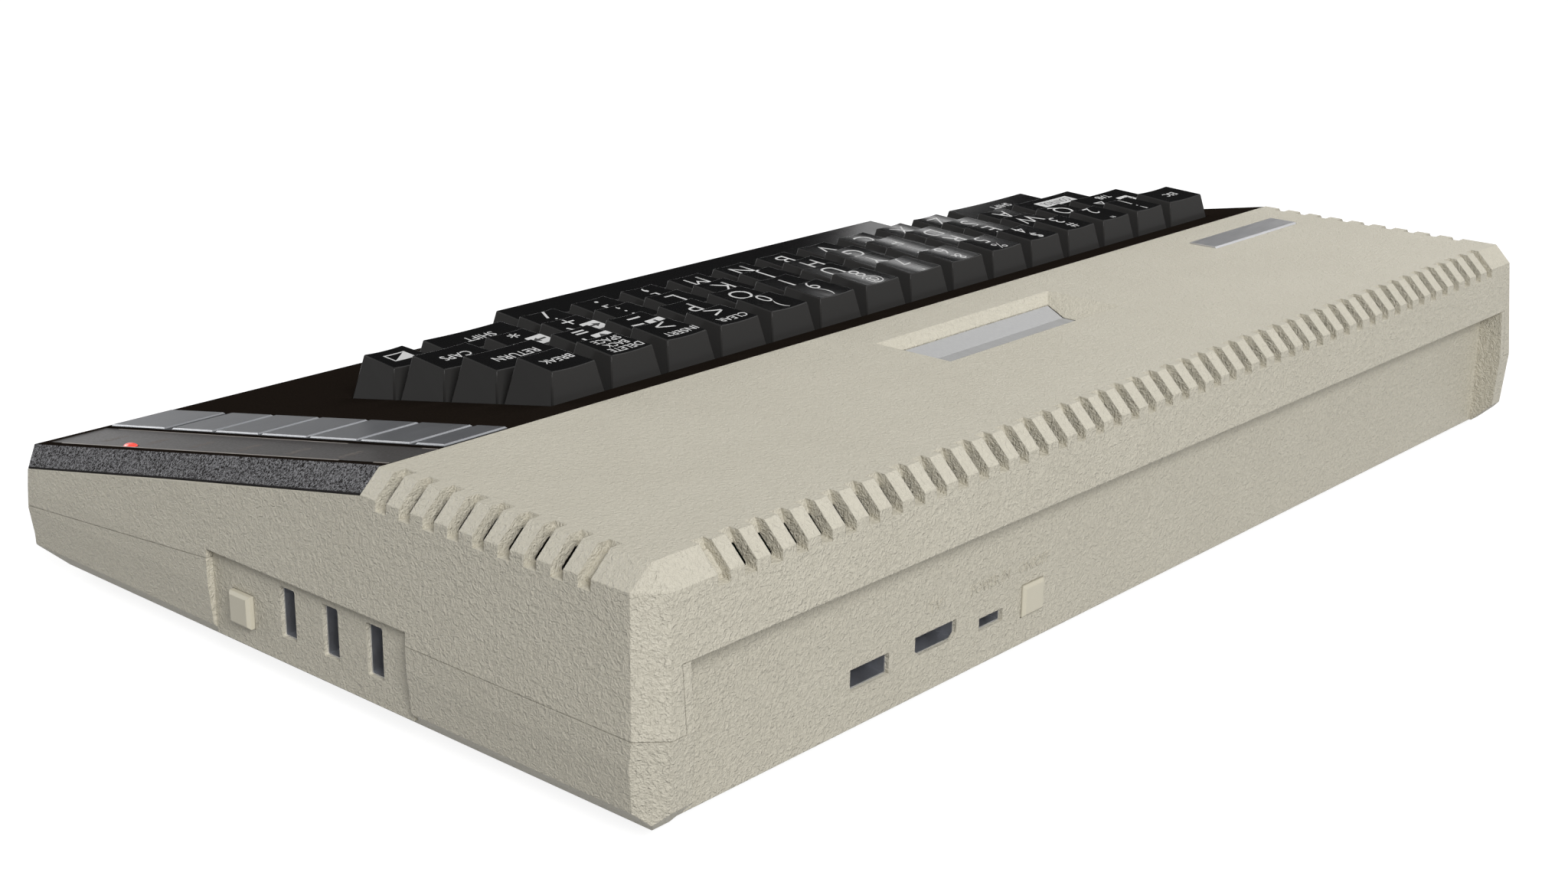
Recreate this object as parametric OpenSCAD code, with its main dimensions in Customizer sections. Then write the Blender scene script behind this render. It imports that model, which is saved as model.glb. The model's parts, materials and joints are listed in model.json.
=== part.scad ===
// One-piece home computer: a wedge-shaped plastic case with a full keyboard, a row of
// console keys, a cartridge bay under two sprung doors and sockets at the side and rear.
// The origin is on the table, under the middle of the case. +Y is the rear, +X the user's right.

/* [Case] */
// Width across the lower edge of the deck bevel
case_w = 377; // [376:0.5:380]
// Depth across the seam of the two shells
case_d = 221.2; // [220.8:0.2:223]
// Height of the flat rear deck above the table
deck_z = 57.6; // [57:0.2:59]
// Height of the seam at the rear
seam_z = 24; // [23.6:0.2:24.4]
// Height of the rubber feet
foot_h = 2.5; // [2:0.5:2.5]
// Wall of both shells
wall = 3; // [2.8:0.1:3.2]
// Outward lean of the upper walls, in degrees
draft_a = 4.55; // [4:0.05:5]
// Height of the deck bevel
bevel_h = 4.9; // [4.5:0.1:5.2]
// Inset of the side bevels
bevel_side = 5.2; // [4.8:0.1:5.6]
// Inset of the rear bevel
bevel_rear = 4.95; // [4.6:0.05:5.4]
// Cut of the vertical corners
corner_cut = 5.4; // [5:0.1:6]

/* [Keyboard] */
// Slope of the keyboard bezel, in degrees
slope_a = 10.53; // [10.3:0.01:10.8]
// Depth of the flat rear deck, from its bevel's lower edge
deck_d = 84.1; // [83.8:0.1:84.6]
// Width of one key cell
key_u = 19.05; // [19:0.01:19.1]
// Distance between two key rows
row_pitch = 19.5; // [19.4:0.05:19.6]
// Gap between two neighbouring caps
key_gap = 1.45; // [1.2:0.05:1.8]
// Travel of a key
key_travel = 3.5; // [2.5:0.5:3.5]
// Right edge of the key block
block_right = 125.8; // [125:0.1:126.5]

/* [Console keys] */
// Distance between two console keys
console_pitch = 19; // [18.8:0.1:19.2]
// Width of a console key, across the case
console_w = 17.8; // [17.4:0.1:18]
// Travel of a console key
console_travel = 1.0; // [0.6:0.1:1.2]

/* [Cartridge bay] */
// Width of the bay's mouth
bay_w = 75.7; // [75:0.1:77]
// Depth of the bay's mouth, front to rear
bay_d = 23.7; // [23:0.1:24.2]

/* [Vents] */
// Distance between two vent slots
vent_pitch = 7.5; // [7.4:0.05:7.5]
// Width of a vent slot
vent_w = 3.5; // [3:0.1:3.8]

/* [Hidden] */
$fn = 48;
eps = 0.01;

// Colours
putty = [0.78, 0.75, 0.68];
bezel_brown = [0.10, 0.08, 0.07];
cap_black = [0.06, 0.06, 0.07];
strip_grey = [0.25, 0.25, 0.26];
key_silver = [0.52, 0.54, 0.58];
door_silver = [0.72, 0.73, 0.76];
steel = [0.62, 0.63, 0.66];
board_green = [0.10, 0.32, 0.18];
inner_black = [0.08, 0.08, 0.09];
rubber_grey = [0.35, 0.35, 0.36];
lamp_red = [0.85, 0.20, 0.15];
cable_grey = [0.80, 0.80, 0.78];

// Case outline
half_w = case_w / 2;
lean = tan(draft_a);
edge_z = deck_z - bevel_h;
seam_half_w = half_w + (edge_z - seam_z) * lean;
rear_y = case_d / 2 - (edge_z - seam_z) * lean;
seam_rear_y = case_d / 2;
deck_front_y = rear_y - deck_d;
slope_t = tan(slope_a);
nose_y = -case_d / 2 + 1.1;
nose_z = deck_z - (deck_front_y - nose_y) * slope_t;
floor_z = foot_h;
front_corner_cut = corner_cut - 0.7;

// Lower shell: leans inwards, then a 45 degree bevel to the floor
low_bevel = 6.05;
low_bevel_z = floor_z + low_bevel;
low_half_w = seam_half_w - 0.95;
low_rear_y = seam_rear_y - 0.9;
low_front_y = -case_d / 2 + 0.4;
front_bevel = 9.1;

// Seam: level at the rear, falling towards the front
side_bay_y0 = -30.1;
side_bay_y1 = 39.6;
seam_front_z = 18.4;
seam_front_knee_z = 24.9;
far = 400;

// Side port bay and rear port bay
side_panel_x = 189;
side_bay_top_z = 27.1;
rear_bay_half = 179;
rear_rim = 2.2;
rear_panel_y = 103;
rear_bay_top_z = 38.2;
port_skin = 1.1;
shell_gap = 0.15;

// ---------- helpers ----------

// Extrudes a (y, z) outline along X
module along_x(points, x0, x1) {
    translate([x0, 0, 0]) rotate([90, 0, 90]) linear_extrude(x1 - x0) polygon(points);
}

// Extrudes an (x, z) outline along Y
module along_y(points, y0, y1) {
    translate([0, y1, 0]) rotate([90, 0, 0]) linear_extrude(y1 - y0) polygon(points);
}

// A box given by its lowest and highest corners
module block(low, high) {
    translate(low) cube(high - low);
}

// Puts its children in the keyboard's frame: X across, Y up the slope, Z out of the bezel
module on_slope() {
    translate([0, deck_front_y, deck_z]) rotate([slope_a, 0, 0]) children();
}

// A round bar along Z between two heights
module post(x, y, r, z0, z1) {
    translate([x, y, z0]) cylinder(r = r, h = z1 - z0);
}

// ---------- outer form ----------

// Side view of the upper part, inset by t
function upper_side_outline(t) = [
    [-seam_rear_y + t, seam_front_z - 20],
    [-seam_rear_y + t, seam_front_z],
    [nose_y + t, nose_z - t],
    [deck_front_y, deck_z - t],
    [rear_y - bevel_rear - t * 0.42, deck_z - t],
    [rear_y - t, edge_z - t * 0.42],
    [seam_rear_y - t, seam_z],
    [seam_rear_y - t, seam_z - 20]
];

// Side view of the lower part, inset by t
function lower_side_outline(t) = [
    [seam_rear_y - t, seam_z + 20],
    [seam_rear_y - t, seam_z],
    [low_rear_y - t, low_bevel_z + t * 0.42],
    [low_rear_y - low_bevel - t * 0.42, floor_z + t],
    [low_front_y + front_bevel + t * 0.42, floor_z + t],
    [low_front_y + t, floor_z + front_bevel + t * 0.42],
    [-seam_rear_y + t, seam_front_z],
    [-seam_rear_y + t, seam_z + 20]
];

// Mirrors half an (x, z) outline onto the other side
function both_sides(half) = concat(half, [for (i = [len(half) - 1 : -1 : 0]) [-half[i][0], half[i][1]]]);

function upper_front_outline(t) = both_sides([
    [seam_half_w - t, seam_z - 20],
    [seam_half_w - t, seam_z],
    [half_w - t, edge_z - t * 0.42],
    [half_w - bevel_side - t * 0.42, deck_z - t]
]);

function lower_front_outline(t) = both_sides([
    [low_half_w - low_bevel - t * 0.42, floor_z + t],
    [low_half_w - t, low_bevel_z + t * 0.42],
    [seam_half_w - t, seam_front_z],
    [seam_half_w - t, seam_z + 20]
]);

// Limits of the cut corners, measured on the diagonal
function rear_corner_outline(t) = [
    [-far, -20],
    [(low_half_w + low_rear_y - corner_cut) / sqrt(2) - t, -20],
    [(low_half_w + low_rear_y - corner_cut) / sqrt(2) - t, low_bevel_z],
    [(seam_half_w + seam_rear_y - corner_cut) / sqrt(2) - t, seam_z],
    [(half_w + rear_y - corner_cut) / sqrt(2) - t, edge_z],
    [(half_w + rear_y + corner_cut - 2 * bevel_side - 2 * bevel_rear) / sqrt(2) - t, deck_z + bevel_h],
    [-far, deck_z + bevel_h]
];

function front_corner_outline(t) = [
    [-far, -20],
    [(low_half_w - low_front_y - front_corner_cut) / sqrt(2) - t, -20],
    [(low_half_w - low_front_y - front_corner_cut) / sqrt(2) - t, floor_z + front_bevel],
    [(seam_half_w + seam_rear_y - front_corner_cut) / sqrt(2) - t, seam_front_z],
    [(half_w + (edge_z - nose_z) * lean - nose_y - front_corner_cut) / sqrt(2) - t, nose_z],
    [(half_w + (edge_z - nose_z) * lean - nose_y - front_corner_cut) / sqrt(2) - t, deck_z + 20],
    [-far, deck_z + 20]
];

module cut_corners(t) {
    intersection() {
        children();
        rotate([0, 0, 45]) along_y(rear_corner_outline(t), -far, far);
        mirror([1, 0, 0]) rotate([0, 0, 45]) along_y(rear_corner_outline(t), -far, far);
        rotate([0, 0, -45]) along_y(front_corner_outline(t), -far, far);
        mirror([1, 0, 0]) rotate([0, 0, -45]) along_y(front_corner_outline(t), -far, far);
    }
}

module upper_solid(t) {
    cut_corners(t) intersection() {
        along_x(upper_side_outline(t), -far, far);
        along_y(upper_front_outline(t), -far, far);
    }
}

module lower_solid(t) {
    cut_corners(t) intersection() {
        along_x(lower_side_outline(t), -far, far);
        along_y(lower_front_outline(t), -far, far);
    }
}

// Everything above or below the seam
seam_line = [
    [-far, seam_front_z - (far - seam_rear_y) * 0.0815], [side_bay_y0, seam_front_knee_z],
    [side_bay_y1, seam_z], [far, seam_z]
];

module above_seam(gap) {
    along_x(concat([for (p = seam_line) [p[0], p[1] + gap]], [[far, 200], [-far, 200]]), -far, far);
}

module below_seam() {
    along_x(concat(seam_line, [[far, -200], [-far, -200]]), -far, far);
}

// Everything in front of the deck and above the grained strip's lower edge
strip_h = 5.1;

module bezel_region(gap) {
    low_z = deck_z - strip_h - gap;
    along_x([
        [deck_front_y + gap, low_z], [deck_front_y + gap, 200], [-far, 200],
        [-far, low_z - (far + deck_front_y) * slope_t]
    ], -far, far);
}

// ---------- vents ----------

rear_vents = 46;
side_vents = 9;
side_vent_y0 = 90.9;
vent_low = -2.45;
rear_vent_tip = 7.35;
side_vent_tip = 8.35;
blind_depth = 2.2;

// Outline of one slot across the bevel, running inwards from the bevel's lower edge
function vent_outline(tip) = [
    [tip, bevel_h], [tip, 8], [-4, 8], [-4, vent_low], [-0.3, vent_low], [4, -1.6], [tip - 1.75, 0.3]
];

module rear_vent_cut(x) {
    outline = [for (p = vent_outline(rear_vent_tip)) [rear_y - p[0], edge_z + p[1]]];
    along_x(outline, x - vent_w / 2, x + vent_w / 2);
}

module side_vent_cut(y) {
    outline = [for (p = vent_outline(side_vent_tip)) [half_w - p[0], edge_z + p[1]]];
    along_y(outline, y - vent_w / 2, y + vent_w / 2);
}

// All open slots
module vent_cuts() {
    last = (rear_vents - 3) / 2;
    for (i = [-last : last]) rear_vent_cut(i * vent_pitch);
    for (side = [0, 1], i = [1 : side_vents - 1])
        mirror([side, 0, 0]) side_vent_cut(side_vent_y0 - i * vent_pitch);
}

// The outermost slots are only pressed into the wall
module blind_vent_cuts() {
    last = (rear_vents - 1) / 2;
    difference() {
        union() {
            for (i = [-last, last]) rear_vent_cut(i * vent_pitch);
            for (side = [0, 1]) mirror([side, 0, 0]) side_vent_cut(side_vent_y0);
        }
        upper_solid(blind_depth);
    }
}

// ---------- cartridge bay ----------

bay_x = -0.85;
bay_y = deck_front_y + 25.7;
bay_half_x = bay_w / 2;
bay_half_y = bay_d / 2;
end_lean = 1.31;
long_lean = 0.925;
door_edge_d = 2.81;
door_low_d = 4.73;
door_low_y = 2.05;
split_y = 2.4;
split_gap = 0.25;
door_gap = 0.5;
door_t = 0.8;
foot_y = bay_half_y - long_lean * door_edge_d;
foot_x = bay_half_x - end_lean * door_edge_d;
low_x = bay_half_x - end_lean * door_low_d;
door_slope = (door_low_d - door_edge_d) / (foot_y - door_low_y);
collar_d = 9;
collar_wall = 4;
knuckle_r = 1.4;
knuckle_half = 26;
pin_r = 0.8;
pin_play = 0.05;
hinge_off = 8.9;
hinge_d = 5.2;
hinge_z = deck_z - hinge_d;
hinge_room = 1.9;
pin_half = bay_half_x + 2.5;

// The shaft below the sloping walls, inset by t at its ends
module shaft_prism(t, z0, z1) {
    half = [
        [0, -foot_y], [foot_x - t, -foot_y], [low_x - t, -door_low_y], [low_x - t, door_low_y],
        [foot_x - t, foot_y], [0, foot_y]
    ];
    for (side = [0, 1])
        translate([0, 0, z0]) mirror([side, 0, 0]) linear_extrude(z1 - z0) polygon(half);
}

// The bay's mouth with its sloping walls, the shaft below it and the room for the hinges
module mouth_cut() {
    low = 5;
    translate([bay_x, bay_y, deck_z]) {
        intersection() {
            along_y(both_sides([
                [bay_half_x - end_lean * low, -low], [bay_half_x + end_lean, 1]
            ]), -60, 60);
            along_x([
                [-bay_half_y + long_lean * low, -low], [-bay_half_y - long_lean, 1],
                [bay_half_y + long_lean, 1], [bay_half_y - long_lean * low, -low]
            ], -60, 60);
        }
        shaft_prism(0, -collar_d - 1, -door_edge_d);
        along_x([
            [-foot_y, -collar_d - 1], [-foot_y, -door_edge_d - 0.1], [-door_low_y, -door_low_d - 0.1],
            [door_low_y, -door_low_d - 0.1], [foot_y, -door_edge_d - 0.1], [foot_y, -collar_d - 1]
        ], -foot_x, foot_x);
        for (s = [-1, 1]) {
            translate([-foot_x, s * hinge_off, -hinge_d]) rotate([0, 90, 0])
                cylinder(r = hinge_room, h = 2 * foot_x);
            block([-foot_x, s * hinge_off - hinge_room, -collar_d - 1],
                [foot_x, s * hinge_off + hinge_room, -hinge_d]);
        }
    }
}

module bay_collar() {
    half_x = bay_half_x + collar_wall;
    half_y = bay_half_y + collar_wall;
    translate([bay_x, bay_y, 0])
        block([-half_x, -half_y, deck_z - collar_d], [half_x, half_y, deck_z - 1]);
}

// Both hinge pins, or the holes for them
module hinge_pins(r) {
    for (s = [-1, 1])
        translate([bay_x - pin_half, bay_y + s * hinge_off, hinge_z]) rotate([0, 90, 0])
            cylinder(r = r, h = 2 * pin_half);
}

// One door leaf in the bay's frame, hinged at its front edge, reaching back to end_y
module door_leaf(end_y) {
    edge_y = -foot_y + door_gap;
    drop = door_edge_d + 0.1;
    low = door_low_d;
    fold_y = min(-door_low_y, end_y - 0.3);
    outline = [
        [edge_y, -drop], [fold_y, -low], [end_y, -low],
        [end_y, -low - door_t], [fold_y - 0.1, -low - door_t], [edge_y, -drop - door_t]
    ];
    difference() {
        union() {
            intersection() {
                along_x(outline, -far, far);
                shaft_prism(door_gap, -20, 0);
            }
            block([-knuckle_half, -hinge_off, -hinge_d], [knuckle_half, -hinge_off + knuckle_r, -drop - 0.5]);
            translate([-knuckle_half, -hinge_off, -hinge_d]) rotate([0, 90, 0])
                cylinder(r = knuckle_r, h = 2 * knuckle_half);
        }
        translate([-knuckle_half - 1, -hinge_off, -hinge_d]) rotate([0, 90, 0])
            cylinder(r = pin_r + pin_play, h = 2 * knuckle_half + 2);
    }
}

module front_door() {
    color(door_silver) translate([bay_x, bay_y, deck_z]) door_leaf(split_y - split_gap / 2);
}

module rear_door() {
    color(door_silver) translate([bay_x, bay_y, deck_z]) mirror([0, 1, 0])
        door_leaf(-split_y - split_gap / 2);
}

module door_pins() {
    color(steel) hinge_pins(pin_r);
}

// Torsion springs around the pins at both ends of each leaf, drawn as plain sleeves
spring_r = 1.2;
spring_len = 4;

module door_springs() {
    color(steel) for (s = [-1, 1], side = [0, 1])
        translate([bay_x, bay_y + s * hinge_off, hinge_z]) mirror([side, 0, 0])
            translate([knuckle_half + 0.5, 0, 0]) rotate([0, 90, 0]) difference() {
                cylinder(r = spring_r, h = spring_len);
                translate([0, 0, -1]) cylinder(r = pin_r, h = spring_len + 2);
            }
}

// Liner of the bay, open at its top, with the socket at its bottom
well_top = deck_z - collar_d;
well_floor = 18;
well_t = 1.4;
well_half_x = bay_half_x;
well_half_y = bay_half_y + 1;

module cartridge_well() {
    color(inner_black) translate([bay_x, bay_y, 0]) difference() {
        block([-well_half_x, -well_half_y, well_floor], [well_half_x, well_half_y, well_top]);
        block([-well_half_x + well_t, -well_half_y + well_t, well_floor + well_t],
            [well_half_x - well_t, well_half_y - well_t, well_top + 1]);
        block([-socket_half_x - 0.3, -socket_half_y - 0.3, well_floor - 1],
            [socket_half_x + 0.3, socket_half_y + 0.3, well_floor + 3]);
    }
}

socket_half_x = 30;
socket_half_y = 4.5;
socket_top = 25;

module cartridge_socket() {
    color(inner_black) translate([bay_x, bay_y, 0]) difference() {
        block([-socket_half_x, -socket_half_y, board_top], [socket_half_x, socket_half_y, socket_top]);
        block([-socket_half_x + 2.5, -1.1, socket_top - 10], [socket_half_x - 2.5, 1.1, socket_top + 1]);
    }
}

// ---------- shells ----------

// Places of the case screws: two under the deck, two under the bezel
rear_screws = [[-168, 84], [168, 84]];
front_screws = [[-176, -84], [176, -84]];
post_r = 4;
pilot_r = 1.55;
post_z = 16;

module rear_bay_cut() {
    half = rear_bay_half + rear_rim + shell_gap;
    block([-half, rear_panel_y - wall, -1], [half, far, rear_bay_top_z]);
}

module side_bay_cut() {
    block([side_panel_x - wall - 0.5, side_bay_y0, -1], [far, side_bay_y1, side_bay_top_z]);
}

// Ledge that closes the top of the rear port bay
module rear_bay_ledge() {
    half = rear_bay_half + rear_rim + 4;
    intersection() {
        block([-half, rear_panel_y - wall - 1.5, rear_bay_top_z], [half, far, rear_bay_top_z + 2.4]);
        upper_solid(0.5);
    }
}

nameplate_x = [-166.6, -117.7];
nameplate_y = [deck_front_y + 10.7, deck_front_y + 20.4];
nameplate_h = 0.9;
nameplate_sink = 0.5;

module upper_shell() {
    color(putty) difference() {
        union() {
            difference() {
                intersection() {
                    upper_solid(0);
                    above_seam(shell_gap);
                }
                bezel_region(0);
                upper_solid(wall);
            }
            difference() {
                bay_collar();
                bezel_region(0);
            }
            rear_bay_ledge();
            for (p = rear_screws) post(p[0], p[1], post_r, post_z, deck_z - 1);
        }
        rear_bay_cut();
        side_bay_cut();
        mouth_cut();
        vent_cuts();
        blind_vent_cuts();
        hinge_pins(pin_r + pin_play);
        block([nameplate_x[0] - 0.15, nameplate_y[0] - 0.15, deck_z - nameplate_sink],
            [nameplate_x[1] + 0.15, nameplate_y[1] + 0.15, deck_z + 5]);
        for (p = rear_screws) post(p[0], p[1], pilot_r, post_z - 1, post_z + 12);
    }
}

// Sockets and buttons in the rear panel: centre x, centre z, width, height
rear_usb_at = [117.2, 13.65, 13.1, 5];
video_at = [94.15, 14.3, 14.9, 4.6];
power_at = [73.6, 12.35, 9, 3.1];
power_button_at = [57.6, 13.2, 8.2, 7.8];

// Sockets and button in the side panel: centre y, centre z, width, height
side_usb_y = [-2.6, 12.4, 27.4];
side_usb_z = 18.65;
side_usb_w = 5.4;
side_usb_h = 12.1;
side_button_at = [-19.1, 15.35, 7.4, 7.8];
socket_skin = 0.2;
side_board_z = side_usb_z - side_usb_h / 2 - socket_skin - 1.6;
side_posts = [[168, -8], [168, 32]];

module rear_hole(at, play) {
    block([at[0] - at[2] / 2 - play, rear_panel_y - 20, at[1] - at[3] / 2 - play],
        [at[0] + at[2] / 2 + play, rear_panel_y + 20, at[1] + at[3] / 2 + play]);
}

// Video socket's opening, with slanted lower corners
video_slant_x = 1.7;
video_slant_z = 1.3;

module video_hole() {
    x = video_at[2] / 2;
    z = video_at[3] / 2;
    translate([video_at[0], 0, video_at[1]]) along_y(both_sides([
        [x - video_slant_x, -z], [x, -z + video_slant_z], [x, z]
    ]), rear_panel_y - 20, rear_panel_y + 20);
}

// Upright opening with round corners in the side panel
hole_r = 0.6;

module side_usb_hole(y) {
    wide = side_usb_w / 2;
    high = side_usb_h / 2;
    translate([side_panel_x - 12, y, side_usb_z]) {
        translate([0, -wide + hole_r, -high]) cube([24, side_usb_w - 2 * hole_r, side_usb_h]);
        translate([0, -wide, -high + hole_r]) cube([24, side_usb_w, side_usb_h - 2 * hole_r]);
        for (a = [-1, 1], b = [-1, 1])
            translate([0, a * (wide - hole_r), b * (high - hole_r)]) rotate([0, 90, 0])
                cylinder(r = hole_r, h = 24, $fn = 16);
    }
}

module side_hole(y, z, w, h, play) {
    block([side_panel_x - 12, y - w / 2 - play, z - h / 2 - play],
        [side_panel_x + 12, y + w / 2 + play, z + h / 2 + play]);
}

// The panel of the rear bay, with the rims that stand against the upper shell's corner posts
module rear_panel() {
    top = rear_bay_top_z - shell_gap;
    inner_y = rear_panel_y - wall;
    block([-rear_bay_half - 1, inner_y, floor_z], [rear_bay_half + 1, rear_panel_y, top]);
    rim = [
        [inner_y, floor_z + 1], [low_rear_y - low_bevel + 1, floor_z + 1], [low_rear_y, low_bevel_z],
        [seam_rear_y, seam_z], [seam_rear_y - (top - seam_z) * lean, top], [inner_y, top]
    ];
    for (side = [0, 1]) mirror([side, 0, 0]) along_x(rim, rear_bay_half, rear_bay_half + rear_rim);
}

module side_panel() {
    block([side_panel_x - wall, side_bay_y0 + shell_gap, floor_z + 4],
        [side_panel_x, side_bay_y1 - shell_gap, side_bay_top_z - shell_gap]);
}

// Holes in the panels: full size in the skin, wider behind it for the socket's metal
module port_holes() {
    rear_hole(rear_usb_at, 0);
    video_hole();
    rear_hole(power_at, 0);
    for (at = [rear_usb_at, video_at, power_at])
        translate([0, -20 - port_skin, 0]) rear_hole(at, socket_skin + 0.05);
    rear_hole(power_button_at, 0.2);
    for (y = side_usb_y) {
        side_usb_hole(y);
        translate([-12 - port_skin, 0, 0]) side_hole(y, side_usb_z, side_usb_w, side_usb_h, socket_skin + 0.05);
    }
    side_hole(side_button_at[0], side_button_at[1], side_button_at[2], side_button_at[3], 0.2);
}

module lower_shell() {
    all_screws = concat(rear_screws, front_screws);
    color(putty) difference() {
        union() {
            difference() {
                intersection() {
                    lower_solid(0);
                    below_seam();
                }
                lower_solid(wall);
                block([-rear_bay_half, rear_panel_y, -1], [rear_bay_half, far, far]);
                block([side_panel_x, side_bay_y0, -1], [far, side_bay_y1, far]);
            }
            rear_panel();
            side_panel();
            for (p = all_screws) post(p[0], p[1], 5, floor_z + 1, post_z);
            for (p = board_holes) post(p[0], p[1], 3, floor_z + 1, board_z);
            for (p = side_posts) post(p[0], p[1], 3, floor_z + 1, side_board_z);
        }
        for (p = all_screws) {
            post(p[0], p[1], 1.7, -1, post_z + 1);
            post(p[0], p[1], 3.4, -1, floor_z + 5);
        }
        for (p = board_holes) post(p[0], p[1], 1.25, floor_z + 1.5, board_z + 1);
        port_holes();
    }
}

// ---------- bezel and its trim ----------

bezel_t = 2.5;
slope_len = (deck_front_y - nose_y) / cos(slope_a);
console_x0 = 147.1;
console_x1 = console_x0 + console_w;
console_s0 = 0.9;
console_first = 12.05;
console_count = 5;
console_gap = 1.4;
console_s1 = slope_len - 2;
console_proud = 0.45;
label_x0 = 165.5;
label_edge = [179.9, 182.6];
label_t = 1;
label_sink = 1.4;
strip_rear = [182.3, 188.45];
strip_nose = [185.7, 190.43];

// Wedge that slopes one side of the bezel, ruled between its rear and front ends
module strip_bevel_cut() {
    hull() {
        for (end = [[0.5, strip_rear], [-slope_len - 3, strip_nose]]) {
            top_x = end[1][0];
            run = end[1][1] - top_x;
            translate([0, end[0], 0]) along_y([
                [top_x - run / 5, 1], [top_x + 2 * run, -10], [top_x + 2 * run, 1]
            ], -0.05, 0.05);
        }
    }
}

// Plan of the label strip: its outer edge runs with the grained strip
module label_plan(t) {
    polygon([
        [label_x0 - t, t - 0.35], [label_edge[0] + t, t - 0.35],
        [label_edge[1] + t, -slope_len + 0.2 - t], [label_x0 - t, -slope_len + 0.2 - t]
    ]);
}

rows = 4;
first_row_s = 10.6;
cap_depth = 17.85;
row_cells = 15.25;
block_left = block_right - row_cells * key_u;
cell_edge = key_gap / 2;
space_cells = [3.05, 12.05];

module key_opening() {
    block([block_left, -(first_row_s + rows * row_pitch - 1), -20], [block_right, -first_row_s + 0.7, 5]);
    block([block_left + space_cells[0] * key_u, -(first_row_s + (rows + 1) * row_pitch - 0.9), -20],
        [block_left + space_cells[1] * key_u, -(first_row_s + rows * row_pitch - 3), 5]);
}

module bezel_cuts() {
    strip_bevel_cut();
    mirror([1, 0, 0]) strip_bevel_cut();
    difference() {
        block([-178, -slope_len + 6, -20], [178, -4, -bezel_t]);
        for (p = front_screws) slope_boss(p);
    }
    key_opening();
    block([console_x0 - 0.3, -console_s1 - 0.3, -20], [console_x1 + 0.3, -console_s0 + 0.3, 5]);
    translate([0, 0, -label_sink]) linear_extrude(5) label_plan(0.1);
}

// Height at which a front post meets the bezel
function front_post_top(p) = deck_z - (deck_front_y - p[1]) * slope_t - 3.5;

module keyboard_bezel() {
    color(bezel_brown) difference() {
        union() {
            difference() {
                intersection() {
                    upper_solid(0);
                    bezel_region(-0.1);
                }
                on_slope() bezel_cuts();
            }
            for (p = front_screws) post(p[0], p[1], post_r, post_z, front_post_top(p));
        }
        for (p = front_screws) post(p[0], p[1], pilot_r, post_z - 1, post_z + 10);
    }
}
// Thick spot left under the bezel where a front post stands
module slope_boss(p) {
    s = (p[1] - deck_front_y) / cos(slope_a);
    translate([p[0], s, -20]) cylinder(r = 7, h = 19);
}

module label_strip() {
    color(strip_grey) on_slope()
        difference() {
            translate([0, 0, -label_sink]) linear_extrude(label_t) label_plan(0);
            lamp_body(0.1);
        }
}

lamp_s = 100.9;
lamp_x = 179.95;
lamp_len = 5;
lamp_w = 2.6;
lamp_top = 0.4;

// Oval of the power lamp's lens
module lamp_body(play) {
    r = lamp_w / 2 + play;
    half = (lamp_len - lamp_w) / 2;
    translate([lamp_x, -lamp_s, -4]) {
        for (s = [-1, 1]) translate([0, s * half, 0]) cylinder(r = r, h = 4 + lamp_top);
        translate([-r, -half, 0]) cube([2 * r, 2 * half, 4 + lamp_top]);
    }
}

module power_lamp() {
    color(lamp_red) on_slope() intersection() {
        lamp_body(0);
        block([lamp_x - 5, -lamp_s - 5, -label_sink], [lamp_x + 5, -lamp_s + 5, lamp_top]);
    }
}

module nameplate() {
    color(door_silver)
        difference() {
            block([nameplate_x[0], nameplate_y[0], deck_z - nameplate_sink],
                [nameplate_x[1], nameplate_y[1], deck_z + nameplate_h - nameplate_sink]);
            for (end = [0, 1])
                translate([0, nameplate_y[end], deck_z + nameplate_h - nameplate_sink]) rotate([45, 0, 0])
                    cube([800, 0.8, 0.8], center = true);
        }
}

// ---------- console keys ----------

// A silver cap between two places down the slope
module console_cap(s0, s1, base_h) {
    edge = 0.35;
    intersection() {
        along_y(
            [[console_x0, base_h], [console_x1, base_h], [console_x1, console_proud - edge],
                [console_x1 - edge, console_proud], [console_x0 + edge, console_proud],
                [console_x0, console_proud - edge]],
            -s1, -s0);
        along_x([
            [-s1, base_h], [-s0, base_h], [-s0, console_proud - edge], [-s0 - edge, console_proud],
            [-s1 + edge, console_proud], [-s1, console_proud - edge]
        ], 0, far);
    }
}

console_flange = 0.9;
console_stem_r = 2;
console_stem_end = -4.6;
console_switch_h = 1.4;
console_board_h = console_stem_end - console_travel - 0.2 - console_switch_h;

module console_key(i) {
    s0 = console_first + console_gap / 2 + i * console_pitch;
    s1 = s0 + console_pitch - console_gap;
    color(key_silver) on_slope() {
        console_cap(s0, s1, -bezel_t - 0.3);
        block([console_x0 - console_flange, -s1 + 1, -bezel_t - 1.2],
            [console_x1 + console_flange, -s0 - 1, -bezel_t - 0.3]);
        post((console_x0 + console_x1) / 2, -(s0 + s1) / 2, console_stem_r, console_stem_end, -bezel_t - 1);
    }
}

module console_key_help() { console_key(0); }
module console_key_start() { console_key(1); }
module console_key_select() { console_key(2); }
module console_key_option() { console_key(3); }
module console_key_reset() { console_key(4); }

// A fixed end piece, held by a flange under the bezel
module console_end(s0, s1) {
    console_cap(s0, s1, -bezel_t - 0.5);
    block([console_x0 - console_flange, -s1 + 5, -bezel_t - 0.8], [console_x1 + console_flange, -s0 - 4, -bezel_t]);
}

module console_end_rear() {
    color(key_silver) on_slope() console_end(console_s0, console_first - console_gap / 2 - 0.55);
}

module console_end_front() {
    front_start = console_first + console_count * console_pitch + 2.6;
    color(key_silver) on_slope() console_end(front_start, console_s1);
}

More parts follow.
